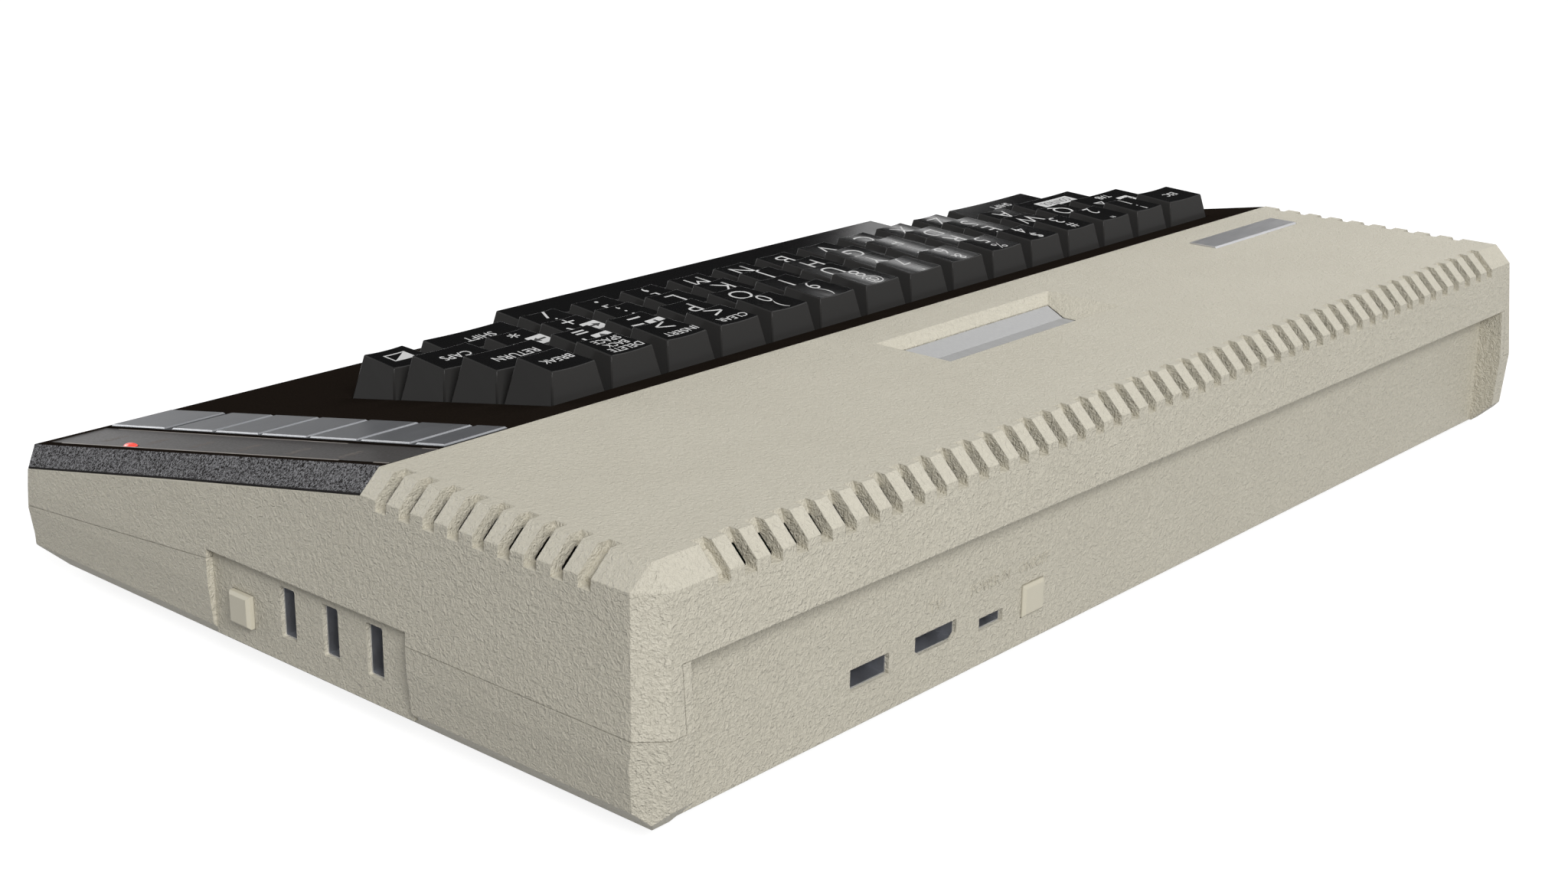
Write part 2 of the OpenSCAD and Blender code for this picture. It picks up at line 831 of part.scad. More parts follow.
// Board under the console keys, with a push switch below each stem
module console_key_board() {
    mid_x = (console_x0 + console_x1) / 2;
    color(board_green) on_slope() {
        block([console_x0 - 4, -112, console_board_h - 1.2], [console_x1 + 4, -9, console_board_h]);
        for (i = [0 : console_count - 1]) {
            s = console_first + (i + 0.5) * console_pitch;
            block([mid_x - 3, -s - 3, console_board_h - eps], [mid_x + 3, -s + 3, console_board_h + console_switch_h]);
        }
        for (s = [12, 109], x = [console_x0 - 2.4, console_x1 + 2.4])
            post(x, -s, 1.3, console_board_h - eps, -bezel_t);
    }
}

// ---------- keys ----------

cap_skirt = 1.5;
cap_rear_h = 7.5;
cap_front_h = 10.65;
cap_top_d = 12.4;
cap_side_in = 2.65;
cap_rear_in = 0.35;
cap_wall = 1.2;
stem_r = 2;
stem_play = 0.08;
stem_end = -9.6;
guide_top = -2;
guide_r = 3.6;
guide_plate_h = -(cap_skirt + key_travel + 2.5);
guide_plate_t = 1.5;

// A tapered cap, inset by t: cells run from the left end of the key block
module cap_form(row, c0, c1, t) {
    x0 = block_left + c0 * key_u + cell_edge + t;
    x1 = block_left + c1 * key_u - cell_edge - t;
    y0 = -(first_row_s + row * row_pitch) - t;
    y1 = y0 - cap_depth + 2 * t;
    side = cap_side_in / cap_front_h;
    top_y0 = y0 - cap_rear_in;
    top_y1 = top_y0 - cap_top_d + 2 * t;
    rise = (cap_front_h - cap_rear_h) / cap_top_d;
    low = -cap_skirt - (t > 0 ? 1 : 0);
    intersection() {
        along_y([
            [x0, low], [x1, low], [x1, 0], [x1 - side * 14, 14], [x0 + side * 14, 14], [x0, 0]
        ], -200, 20);
        along_x([
            [y0, low], [y0, 0], [top_y0, cap_rear_h - t], [top_y1, cap_front_h - t], [y1, 0], [y1, low]
        ], -300, 300);
    }
}

module key_cap(row, c0, c1, stems) {
    mid_y = -(first_row_s + row * row_pitch) - cap_depth / 2;
    difference() {
        cap_form(row, c0, c1, 0);
        cap_form(row, c0, c1, cap_wall);
    }
    for (c = stems) post(block_left + c * key_u, mid_y, stem_r, stem_end, cap_rear_h + 1);
}

// One key with its stem in the middle
module key(row, c0, c1) {
    color(cap_black) on_slope() key_cap(row, c0, c1, [(c0 + c1) / 2]);
}

// A run of single-width keys that share one node
module key_run(row, c0, count) {
    for (i = [0 : count - 1]) key(row, c0 + i, c0 + i + 1);
}

module esc_key() { key(0, 0, 1.25); }
module number_keys() { key_run(0, 1.25, 12); }
module delete_key() { key(0, 13.25, 14.25); }
module break_key() { key(0, 14.25, row_cells); }
module tab_key() { key(1, 0, 1.75); }
module upper_row_keys() { key_run(1, 1.75, 12); }
module return_key() { key(1, 13.75, row_cells); }
module control_key() { key(2, 0, 2); }
module home_row_keys() { key_run(2, 2, 12); }
module caps_key() { key(2, 14, row_cells); }
module left_shift_key() { key(3, 0, 2.5); }
module lower_row_keys() { key_run(3, 2.5, 10); }
module right_shift_key() { key(3, 12.5, 14.25); }
module inverse_key() { key(3, 14.25, row_cells); }

space_mid = (space_cells[0] + space_cells[1]) / 2;
space_side_stem = 3;
space_stems = [space_mid - space_side_stem, space_mid, space_mid + space_side_stem];

module space_bar() {
    color(cap_black) on_slope() key_cap(4, space_cells[0], space_cells[1], space_stems);
}

// Steel wire inside the space bar, between its end walls
module space_bar_wire() {
    y = -(first_row_s + 4 * row_pitch) - cap_depth / 2 - 5.2;
    x0 = block_left + space_cells[0] * key_u + cell_edge + cap_wall;
    x1 = block_left + space_cells[1] * key_u - cell_edge - cap_wall;
    color(steel) on_slope() translate([x0, y, -0.8]) rotate([0, 90, 0]) cylinder(r = 0.6, h = x1 - x0);
}

// Places of all stems, in the slope's frame
function row_stems(row, centres) = [
    for (c = centres) [block_left + c * key_u, -(first_row_s + row * row_pitch) - cap_depth / 2]
];

stem_places = concat(
    row_stems(0, concat([0.625], [for (i = [0 : 13]) i + 1.75])),
    row_stems(1, concat([0.875], [for (i = [0 : 11]) i + 2.25], [14.5])),
    row_stems(2, concat([1], [for (i = [0 : 11]) i + 2.5], [14.625])),
    row_stems(3, concat([1.25], [for (i = [0 : 9]) i + 3], [13.375, 14.75])),
    row_stems(4, space_stems)
);

frame_x = [block_left - 5.8, block_right + 8];
frame_post_x = [frame_x[0] + 3, frame_x[1] - 3.5];
frame_y = [-113, -5];
dome_top = -9.65;
dome_base = -13;
dome_sheet_t = 0.8;

// Plate with a guide tube for each stem, on a rim that clamps the dome sheet
module key_guide_frame() {
    color(inner_black) on_slope() difference() {
        union() {
            block([frame_x[0], frame_y[0], guide_plate_h - guide_plate_t], [frame_x[1], frame_y[1], guide_plate_h]);
            difference() {
                block([frame_x[0], frame_y[0], dome_base], [frame_x[1], frame_y[1], guide_plate_h - 1]);
                block([frame_x[0] + 2, frame_y[0] + 2, dome_base - 1], [frame_x[1] - 2, frame_y[1] - 2, guide_plate_h - 1.4]);
            }
            for (p = stem_places) post(p[0], p[1], guide_r, guide_plate_h - 1, guide_top);
            for (x = frame_post_x, y = [-15, -58, -101]) post(x, y, 2.6, guide_plate_h - 1, -bezel_t);
        }
        for (p = stem_places) post(p[0], p[1], stem_r + stem_play, guide_plate_h - 5, guide_top + 1);
    }
}

// Rubber sheet with a hollow dome under each stem
module dome_sheet() {
    color(rubber_grey) on_slope() difference() {
        union() {
            block([frame_x[0] + 0.5, frame_y[0] + 0.5, dome_base - dome_sheet_t], [frame_x[1] - 0.5, frame_y[1] - 0.5, dome_base]);
            for (p = stem_places) post(p[0], p[1], 3.2, dome_base - 0.4, dome_top);
        }
        for (p = stem_places) post(p[0], p[1], 2.4, dome_base - 2, dome_top - 0.8);
    }
}

keyboard_board_t = 1.2;
backplate_t = 1;

module keyboard_board() {
    top = dome_base - dome_sheet_t;
    color(board_green) on_slope()
        block([frame_x[0], frame_y[0], top - keyboard_board_t], [frame_x[1], frame_y[1], top]);
}

module keyboard_backplate() {
    top = dome_base - dome_sheet_t - keyboard_board_t;
    color(steel) on_slope()
        block([frame_x[0], frame_y[0], top - backplate_t], [frame_x[1], frame_y[1], top]);
}

// ---------- boards and electronics ----------

board_z = 9;
board_t = 1.6;
board_top = board_z + board_t;
board_low = [-158, 18];
board_high = [150, 99];
board_holes = [[-150, 24], [-150, 92], [-10, 24], [140, 24], [30, 92]];

module main_board() {
    color(board_green) difference() {
        block([board_low[0], board_low[1], board_z], [board_high[0], board_high[1], board_top]);
        for (p = board_holes) post(p[0], p[1], 1.6, board_z - 1, board_top + 1);
        block([power_button_at[0] - 5.6, 96, board_z - 1], [power_button_at[0] + 5.6, 100, board_top + 1]);
    }
}

module board_chips() {
    color(inner_black) {
        for (i = [0 : 4]) block([-130 + i * 18, 78, board_top], [-118 + i * 18, 92, board_top + 2]);
        for (i = [0 : 2]) block([-96, 28 + i * 15, board_top], [-64, 38 + i * 15, board_top + 3.6]);
        block([92, 56, board_top], [107, 71, board_top + 2]);
    }
}

// Finned block on the processor
module heat_spreader() {
    color(steel) {
        block([89, 53, board_top + 2], [110, 74, board_top + 4]);
        for (i = [0 : 6]) block([89 + i * 3.2, 53, board_top + 4 - eps], [90.2 + i * 3.2, 74, board_top + 11]);
    }
}

// Flat cable from the keyboard's board down to the main board
cable_x = [-145, -107];

module flat_cable() {
    back = 27;
    top = 42.7;
    color(cable_grey) along_x([
        [22.2, top - 0.4], [22.2, top], [back, top], [back, board_top + 0.4], [34, board_top + 0.4],
        [34, board_top], [back - 0.4, board_top], [back - 0.4, top - 0.4]
    ], cable_x[0], cable_x[1]);
}

// A hollow metal socket that opens along +Y, with a tongue, standing on the main board
module y_socket(at, length, tongue_t, lining) {
    y1 = rear_panel_y - port_skin;
    y0 = y1 - length;
    x0 = at[0] - at[2] / 2;
    x1 = at[0] + at[2] / 2;
    z0 = at[1] - at[3] / 2;
    z1 = at[1] + at[3] / 2;
    color(steel) {
        difference() {
            block([x0 - socket_skin, y0, z0 - socket_skin], [x1 + socket_skin, y1, z1 + socket_skin]);
            block([x0 + lining, y0 + 1, z0 + lining], [x1 - lining, y1 + 1, z1 - lining]);
        }
        block([x0 + 1.6, y0 + 0.5, z1 - tongue_t - 0.7], [x1 - 1.6, y0 + length / 2, z1 - 0.7]);
        if (z0 - socket_skin > board_top) block([x0, y0, board_top], [x1, y0 + length - 3, z0]);
    }
}

module rear_usb_port() { y_socket(rear_usb_at, 13.5, 1.4, 0.3); }
module video_port() { y_socket(video_at, 11, 1.2, 0.15); }
module power_port() { y_socket(power_at, 8.5, 0.7, 0.3); }

// Three upright sockets that open along +X
module side_usb_ports() {
    x1 = side_panel_x - port_skin;
    x0 = x1 - 13.5;
    wide = side_usb_w / 2;
    high = side_usb_h / 2;
    lining = 0.3;
    color(steel) for (y = side_usb_y) {
        difference() {
            block([x0, y - wide - socket_skin, side_usb_z - high - socket_skin],
                [x1, y + wide + socket_skin, side_usb_z + high + socket_skin]);
            block([x0 + 1, y - wide + lining, side_usb_z - high + lining],
                [x1 + 1, y + wide - lining, side_usb_z + high - lining]);
        }
        block([x0 + 0.5, y - wide + 0.8, side_usb_z - high + 1.2],
            [x0 + 6.5, y - wide + 2.1, side_usb_z + high - 1.2]);
    }
}

module side_port_board() {
    color(board_green) difference() {
        block([163, side_bay_y0 + 1, side_board_z], [side_panel_x - wall, side_bay_y1 - 1, side_board_z + 1.6]);
        block([182.4, side_button_at[0] - 5.2, side_board_z - 1], [190, side_button_at[0] + 5.2, side_board_z + 3]);
    }
}

// Push buttons with a bevelled face, a flange behind the panel and a plunger
button_proud = 1.5;
button_bevel = 0.7;
button_back = 5;
plunger_r = 1.5;
plunger_end = 7.9;

// Faces +Y; flange_y is the flange's front face
module push_button(w, h, flange_y) {
    half_x = w / 2;
    half_z = h / 2;
    flat_y = button_proud - button_bevel;
    intersection() {
        along_x([
            [-button_back, -half_z], [flat_y, -half_z], [button_proud, -half_z + button_bevel],
            [button_proud, half_z - button_bevel], [flat_y, half_z], [-button_back, half_z]
        ], -half_x, half_x);
        linear_extrude(2 * h, center = true) polygon([
            [-half_x, -button_back], [half_x, -button_back], [half_x, flat_y],
            [half_x - button_bevel, button_proud], [-half_x + button_bevel, button_proud], [-half_x, flat_y]
        ]);
    }
    block([-half_x - 0.8, flange_y - 1, -half_z - 0.8], [half_x + 0.8, flange_y, half_z + 0.8]);
    translate([0, -button_back + 0.1, 0]) rotate([90, 0, 0])
        cylinder(r = plunger_r, h = plunger_end - button_back + 0.1);
}

power_face = rear_panel_y - 0.5;
side_face = side_panel_x + 0.2;

module power_button() {
    color(putty) translate([power_button_at[0], power_face, power_button_at[1]])
        push_button(power_button_at[2], power_button_at[3], -wall + 0.4);
}

module side_button() {
    color(putty) translate([side_face, side_button_at[0], side_button_at[1]]) rotate([0, 0, -90])
        push_button(side_button_at[2], side_button_at[3], -wall - 0.3);
}

switch_gap = 7;
socket_play = 0.08;

module power_switch() {
    x = power_button_at[0];
    z = power_button_at[1];
    y1 = power_face - switch_gap;
    color(inner_black) difference() {
        block([x - 4, y1 - 12, board_top], [x + 4, y1, z + 4]);
        translate([x, y1 + 1, z]) rotate([90, 0, 0]) cylinder(r = plunger_r + socket_play, h = 4);
    }
}

module side_switch() {
    y = side_button_at[0];
    z = side_button_at[1];
    x1 = side_face - switch_gap;
    color(inner_black) difference() {
        block([x1 - 9, y - 4, side_board_z + 1.6], [x1, y + 4, z + 4]);
        translate([x1 - 3, y, z]) rotate([0, 90, 0]) cylinder(r = plunger_r + socket_play, h = 4);
    }
}

// ---------- feet and fasteners ----------

feet_at = [[-150, 78], [150, 78], [-150, -72], [150, -72]];

module feet() {
    color(rubber_grey) for (p = feet_at) post(p[0], p[1], 7, 0, foot_h);
}

module case_screws() {
    color(steel) for (p = concat(rear_screws, front_screws)) {
        post(p[0], p[1], 1.5, floor_z + 5, post_z + 9);
        post(p[0], p[1], 3, floor_z + 2.6, floor_z + 5);
    }
}

module board_screws() {
    color(steel) for (p = board_holes) {
        post(p[0], p[1], 1.2, floor_z + 2, board_top);
        post(p[0], p[1], 2.6, board_top, board_top + 1.8);
    }
}

// ---------- all nodes ----------

upper_shell();
lower_shell();
keyboard_bezel();
label_strip();
console_end_rear();
console_end_front();
power_lamp();
nameplate();
console_key_help();
console_key_start();
console_key_select();
console_key_option();
console_key_reset();
console_key_board();
esc_key();
number_keys();
delete_key();
break_key();
tab_key();
upper_row_keys();
return_key();
control_key();
home_row_keys();
caps_key();
left_shift_key();
lower_row_keys();
right_shift_key();
inverse_key();
space_bar();
space_bar_wire();
key_guide_frame();
dome_sheet();
keyboard_board();
keyboard_backplate();
front_door();
rear_door();
door_pins();
door_springs();
cartridge_well();
cartridge_socket();
main_board();
board_chips();
heat_spreader();
flat_cable();
power_button();
power_switch();
side_button();
side_switch();
side_port_board();
side_usb_ports();
rear_usb_port();
video_port();
power_port();
feet();
case_screws();
board_screws();
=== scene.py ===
import json
import math

import bmesh
import bpy
from mathutils import Matrix, Vector


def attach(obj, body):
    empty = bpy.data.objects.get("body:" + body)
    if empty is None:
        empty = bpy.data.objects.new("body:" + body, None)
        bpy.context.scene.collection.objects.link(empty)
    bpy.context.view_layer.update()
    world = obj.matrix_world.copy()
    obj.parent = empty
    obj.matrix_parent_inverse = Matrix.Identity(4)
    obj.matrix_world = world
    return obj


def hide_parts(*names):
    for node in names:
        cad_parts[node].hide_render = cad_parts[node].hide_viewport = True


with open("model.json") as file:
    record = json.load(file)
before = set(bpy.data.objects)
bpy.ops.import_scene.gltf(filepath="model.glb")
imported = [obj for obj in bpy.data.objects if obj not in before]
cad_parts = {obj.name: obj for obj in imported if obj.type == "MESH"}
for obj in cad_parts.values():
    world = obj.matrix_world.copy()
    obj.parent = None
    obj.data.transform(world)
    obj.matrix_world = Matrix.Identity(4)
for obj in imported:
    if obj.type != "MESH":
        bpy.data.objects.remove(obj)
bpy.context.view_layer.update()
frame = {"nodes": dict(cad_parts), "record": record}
nodes = frame["nodes"]

MM = 0.001

# ---------- named sizes, in millimetres, the same as in the part's source ----------

SLOPE = math.radians(10.53)
DECK_Z = 57.6
DECK_FRONT = 24.216
SLOPE_LEN = 136.0
KEY_U = 19.05
BLOCK_RIGHT = 125.8
ROW_UNITS = 15.25
BLOCK_LEFT = BLOCK_RIGHT - ROW_UNITS * KEY_U
FIRST_ROW = 10.6
ROW_PITCH = 19.5
CAP_GAP = 1.45
CAP_DEPTH = 17.85
CAP_REAR_H = 7.5
CAP_FRONT_H = 10.65
CAP_TOP_DEPTH = 12.4
CAP_REAR_IN = 0.35
CAP_SIDE_IN = 2.65
CAP_SKIRT = 1.5
CAP_WALL = 1.2
STEM_R = 2.0
STEM_END = -9.6
STEM_TOP = 8.4
DISH = 0.25
CONSOLE_FIRST = 12.05
CONSOLE_PITCH = 19.0
LABEL_H = -0.4
LABEL_EDGE = (180.0, 182.7)
STRIP_TOP = (182.3, 185.7)
PANEL_Y = 103.0

# ---------- sizes of the detail that is only here, in millimetres ----------

UPRIGHT_ROUND = 0.4
TOP_ROUND = 0.3
TOP_BAND = 0.6  # a vertex this close below the top's plane belongs to the top
DISH_STEPS = 5
STEM_SIDES = 20
SPACE_STEM = 3  # key widths from the middle of the space bar to its outer stems
MARK_T = 0.10
BLACK_EXTRA_T = 0.03  # black marks stand this much above the white ones they lie on
MARK_SUNK = 0.07
STROKE = 0.75
BOX_CORNER = 0.4
RIM_ROUND = 0.05
LABEL_LINE_X = 165.75
LABEL_WORD_X = 174.7
LABEL_WORD = (2.5, 6.2)
LABEL_WORD_T = 0.06
LABEL_WORD_SUNK = 0.04
LAMP_HALF = (1.3, 2.5, 0.85)
LAMP_PLACE = (179.95, -100.9, LABEL_H - 0.05)
LAMP_RIM_Z = -0.4
LAMP_FOOT_Z = -1.0
REAR_LETTER_T = 0.4
REAR_LETTER_SUNK = 0.25

# the built-in font at size 1
CAPITAL_H = 0.682
THIN_STROKE = -0.011
TALL_LETTER = 4.0  # letters taller than this, in millimetres, get the thin stroke
CURVE_STEPS = 4

CUT_DIST = 1e-5

# the keyboard's own frame, in millimetres: across, up the slope from the deck's edge, out of
# the bezel
ON_SLOPE = (
    Matrix.Scale(MM, 4)
    @ Matrix.Translation((0.0, DECK_FRONT, DECK_Z))
    @ Matrix.Rotation(SLOPE, 4, "X")
)


# ---------- materials ----------


def rgb(r, g, b):
    return (r, g, b, 1.0)


BEIGE = (rgb(0.575, 0.541, 0.448), rgb(0.597, 0.563, 0.468))
# painted shade laid into the creases of the grain
PAINTED_CREASE_SHADE = rgb(0.20, 0.185, 0.14)
BEIGE_SMOOTH = rgb(0.585, 0.55, 0.445)
STRIP_GREY = (rgb(0.028, 0.026, 0.026), rgb(0.310, 0.310, 0.322))
BEZEL_BROWN = (rgb(0.0118, 0.0087, 0.0067), rgb(0.0165, 0.0124, 0.0096))
# painted sheen: the skirts' black is lighter than the tops'
CAP_SKIRT_SHEEN = rgb(0.034, 0.033, 0.032)
CAP_TOP_BLACK = rgb(0.0080, 0.0080, 0.0082)
LABEL_GREY = rgb(0.055, 0.051, 0.049)
CONSOLE_TOP = (rgb(0.150, 0.154, 0.165), rgb(0.190, 0.195, 0.207))
# painted highlight: the colour of the edges, a little lighter than the tops
CONSOLE_EDGE_HIGHLIGHT = rgb(0.19, 0.195, 0.205)
NOISE_BAND = (0.3, 0.7)  # nearly all of a noise lies between these
STRIP_CLEAR = (0.00455, 0.0047)  # metres below the slope where the grain of the strip ends


class Shader:
    """A node material with one principled surface and short helpers."""

    def __init__(self, name):
        self.material = bpy.data.materials.new(name)
        self.material.use_nodes = True
        self.tree = self.material.node_tree
        self.surface = self.tree.nodes["Principled BSDF"]
        self.coords = self.tree.nodes.new("ShaderNodeTexCoord").outputs["Object"]

    def feed(self, socket, value):
        """Links an input to another node's output, or gives it a plain value."""
        if isinstance(value, bpy.types.NodeSocket):
            self.tree.links.new(value, socket)
        else:
            socket.default_value = value

    def add(self, kind, inputs=None, **settings):
        made = self.tree.nodes.new(kind)
        for key, value in settings.items():
            setattr(made, key, value)
        for key, value in (inputs or {}).items():
            self.feed(made.inputs[key], value)
        return made

    def set(self, **values):
        """Feeds the surface; an underscore stands for a space in an input's name."""
        for key, value in values.items():
            self.feed(self.surface.inputs[key.replace("_", " ")], value)

    def stretched(self, scale):
        inputs = {"Vector": self.coords, "Scale": scale}
        return self.add("ShaderNodeMapping", inputs).outputs["Vector"]

    def noise(self, scale, detail=2.0, rough=0.5, distort=0.0, vector=None):
        inputs = {
            "Vector": vector or self.coords, "Scale": scale, "Detail": detail,
            "Roughness": rough, "Distortion": distort,
        }
        return self.add("ShaderNodeTexNoise", inputs).outputs["Fac"]

    def math(self, operation, a, b=0.0):
        return self.add("ShaderNodeMath", {0: a, 1: b}, operation=operation).outputs["Value"]

    def remap(self, value, low, high, to_low, to_high):
        inputs = {
            "Value": value, "From Min": low, "From Max": high, "To Min": to_low, "To Max": to_high,
        }
        return self.add("ShaderNodeMapRange", inputs).outputs["Result"]

    def vary(self, noise, low, high):
        """Spreads the usual band of a noise over a range."""
        return self.remap(noise, *NOISE_BAND, low, high)

    def mix(self, fac, a, b):
        return self.add("ShaderNodeMix", {0: fac, 6: a, 7: b}, data_type="RGBA").outputs[2]

    def shaded(self, color, factor):
        """A colour made lighter or darker."""
        inputs = {0: color[:3], "Scale": factor}
        return self.add("ShaderNodeVectorMath", inputs, operation="SCALE").outputs["Vector"]

    def soft_edges(self, radius_mm):
        inputs = {"Radius": radius_mm * MM}
        return self.add("ShaderNodeBevel", inputs, samples=4).outputs["Normal"]

    def bump(self, height, depth_mm, strength=1.0, normal=None):
        inputs = {"Height": height, "Distance": depth_mm * MM, "Strength": strength}
        if normal is not None:
            inputs["Normal"] = normal
        return self.add("ShaderNodeBump", inputs).outputs["Normal"]

    def parts_of(self, vector):
        return self.add("ShaderNodeSeparateXYZ", {0: vector}).outputs

    def true_normal(self):
        return self.parts_of(self.add("ShaderNodeNewGeometry").outputs["True Normal"])


def grained_putty(name):
    """Warm beige case plastic with a moulded leather grain and painted shade in its creases."""
    m = Shader(name)
    wrinkle = m.noise(960.0, 2.0, 0.58, 0.9)
    fine = m.noise(2600.0, 1.0, 0.5)
    grain = m.math("ADD", wrinkle, m.math("MULTIPLY", fine, 0.35))
    beige = m.mix(m.vary(m.noise(45.0, 3.0, 0.6), 0.0, 1.0), *BEIGE)
    # painted shade in the grain's creases, darkest on the upright faces; the bump is strongest
    # there too
    upward = m.true_normal()["Z"]
    depth = m.remap(upward, 0.3, 0.95, 0.26, 0.03)
    strength = m.remap(upward, 0.3, 0.95, 1.0, 0.7)
    crease_shade = m.math("MULTIPLY", m.remap(grain, 0.45, 0.80, 1.0, 0.0), depth)
    m.set(
        Base_Color=m.mix(crease_shade, beige, PAINTED_CREASE_SHADE),
        Normal=m.bump(grain, 0.56, strength, m.soft_edges(0.3)),
        Roughness=m.remap(wrinkle, 0.35, 0.65, 0.50, 0.60),
    )
    return m.material


def smooth_putty(name):
    """The same beige, moulded smooth, for buttons."""
    m = Shader(name)
    m.set(
        Base_Color=BEIGE_SMOOTH,
        Roughness=m.vary(m.noise(260.0, 2.0, 0.6), 0.42, 0.52),
        Normal=m.bump(m.noise(2500.0), 0.012, 1.0, m.soft_edges(0.3)),
    )
    return m.material


def bezel_plastic(name):
    """Near-black brown bezel; its two sloping side faces carry a coarse grey grain."""
    m = Shader(name)
    fine = m.noise(2300.0, 2.0, 0.6)
    coarse = m.noise(2100.0, 2.0, 0.62, 0.8)
    place = m.parts_of(m.coords)
    normal = m.true_normal()
    outward = m.math("MULTIPLY", normal["X"], m.math("SIGN", place["X"]))
    leans_out = m.math("GREATER_THAN", outward, 0.35)
    beyond = m.math("GREATER_THAN", m.math("ABSOLUTE", place["X"]), STRIP_TOP[0] * MM)
    on_strip = m.math("MULTIPLY", leans_out, beyond)
    # the grain stops at a level below the slope
    deck_at_origin = (DECK_Z - DECK_FRONT * math.tan(SLOPE)) * MM
    below_deck = m.math("SUBTRACT", deck_at_origin, place["Z"])
    rise = m.math("MULTIPLY", place["Y"], math.tan(SLOPE))
    clear = m.remap(m.math("ADD", below_deck, rise), *STRIP_CLEAR, 1.0, 0.0)
    speck = m.remap(coarse, 0.42, 0.62, 0.0, 1.0)
    grey = m.mix(m.math("MULTIPLY", speck, clear), *STRIP_GREY)
    brown = m.mix(m.remap(fine, 0.35, 0.65, 0.0, 1.0), *BEZEL_BROWN)
    grain = m.math("ADD", m.math("MULTIPLY", coarse, on_strip), m.math("MULTIPLY", fine, 0.07))
    m.set(
        Base_Color=m.mix(on_strip, brown, grey),
        Roughness=m.remap(on_strip, 0.0, 1.0, 0.5, 0.42),
        Normal=m.bump(grain, 0.30, 1.0, m.soft_edges(0.2)),
        Specular_IOR_Level=0.0,
    )
    return m.material


def cap_plastic(name):
    """Black key plastic with a fine satin texture, a little polished in blotches by fingers."""
    m = Shader(name)
    # painted sheen: the upright skirts are coloured lighter than the tops, which keep the plain
    # black
    level = m.remap(m.true_normal()["Z"], 0.75, 0.95, 0.0, 1.0)
    m.set(
        Base_Color=m.mix(level, CAP_SKIRT_SHEEN, CAP_TOP_BLACK),
        Roughness=m.vary(m.noise(70.0, 2.0, 0.5), 0.14, 0.17),
        Normal=m.bump(m.noise(2800.0, 2.0, 0.5), 0.0008),
        Specular_IOR_Level=0.06,
    )
    return m.material


def overlay_plastic(name):
    """Dark grey satin label."""
    m = Shader(name)
    m.set(
        Base_Color=LABEL_GREY,
        Roughness=m.vary(m.noise(1800.0, 2.0, 0.5), 0.30, 0.38),
        Normal=m.soft_edges(0.15),
        Specular_IOR_Level=0.15,
    )
    return m.material


def brushed_metal(name, color, along, rough, streak=0.06):
    """Metal with fine lines; along is the scale of the noise on each axis."""
    m = Shader(name)
    lines = m.noise(1.0, 3.0, 0.65, 0.0, m.stretched(along))
    m.set(
        Base_Color=m.shaded(color, m.vary(lines, 1.0 - streak, 1.0 + streak)),
        Metallic=1.0,
        Roughness=m.vary(lines, rough - 0.05, rough + 0.05),
        Normal=m.bump(lines, 0.010, 1.0, m.soft_edges(0.15)),
    )
    return m.material


def console_metal(name):
    """Console keys: dull blue-grey brushed tops, with edges coloured lighter as a painted
    highlight.
    """
    m = Shader(name)
    lines = m.noise(1.0, 3.0, 0.65, 0.0, m.stretched((110.0, 3000.0, 3000.0)))
    smudge = m.noise(90.0, 2.0, 0.6)
    # faces that do not face out of the top get the lighter edge colour, a painted highlight
    flat = m.remap(m.true_normal()["Z"], 0.93, 0.97, 0.0, 1.0)
    top = m.mix(m.vary(lines, 0.0, 1.0), *CONSOLE_TOP)
    m.set(
        Base_Color=m.mix(flat, CONSOLE_EDGE_HIGHLIGHT, top),
        Metallic=0.7,
        Roughness=m.math("ADD", m.vary(lines, 0.34, 0.42), m.math("MULTIPLY", smudge, 0.06)),
        Normal=m.bump(lines, 0.008, 1.0, m.soft_edges(0.12)),
    )
    return m.material


def plain(name, color, rough, metallic=0.0, grain=1500.0, depth=0.01):
    """A surface with a fine grain and a slight change of shade."""
    m = Shader(name)
    fine = m.noise(grain, 2.0, 0.5)
    m.set(
        Base_Color=m.shaded(color, m.vary(m.noise(grain / 12), 0.93, 1.07)),
        Metallic=metallic,
        Roughness=m.vary(fine, rough - 0.04, rough + 0.04),
        Normal=m.bump(fine, depth),
    )
    return m.material


def lens_plastic(name):
    """Red lamp cap, faintly lit."""
    m = Shader(name)
    m.set(
        Base_Color=rgb(0.75, 0.045, 0.03), Roughness=0.18,
        Emission_Color=rgb(1.0, 0.09, 0.06), Emission_Strength=0.45,
    )
    return m.material


def print_ink(name, color):
    m = Shader(name)
    m.set(Base_Color=color, Roughness=m.vary(m.noise(900.0), 0.5, 0.62))
    return m.material


DOOR_LINES = (3000.0, 90.0, 3000.0)
PLATE_LINES = (90.0, 3000.0, 3000.0)

putty = grained_putty("case_putty")
smooth = smooth_putty("button_putty")
inner_black = plain("inner_black", rgb(0.02, 0.02, 0.022), 0.6)
plate_silver = brushed_metal("plate_silver", rgb(0.62, 0.62, 0.63), PLATE_LINES, 0.34)
lens_red = lens_plastic("lens_red")
# light brown for the thin beads beside the label; on the rim it is a painted highlight
bead_highlight_and_line = plain("rim_highlight_and_line", rgb(0.30, 0.265, 0.235), 0.35)
ink_white = print_ink("ink_white", rgb(0.66, 0.66, 0.655))
ink_black = print_ink("ink_black", rgb(0.02, 0.02, 0.02))
ink_dim = print_ink("ink_dim", rgb(0.145, 0.125, 0.110))
cap_black = cap_plastic("cap_black")

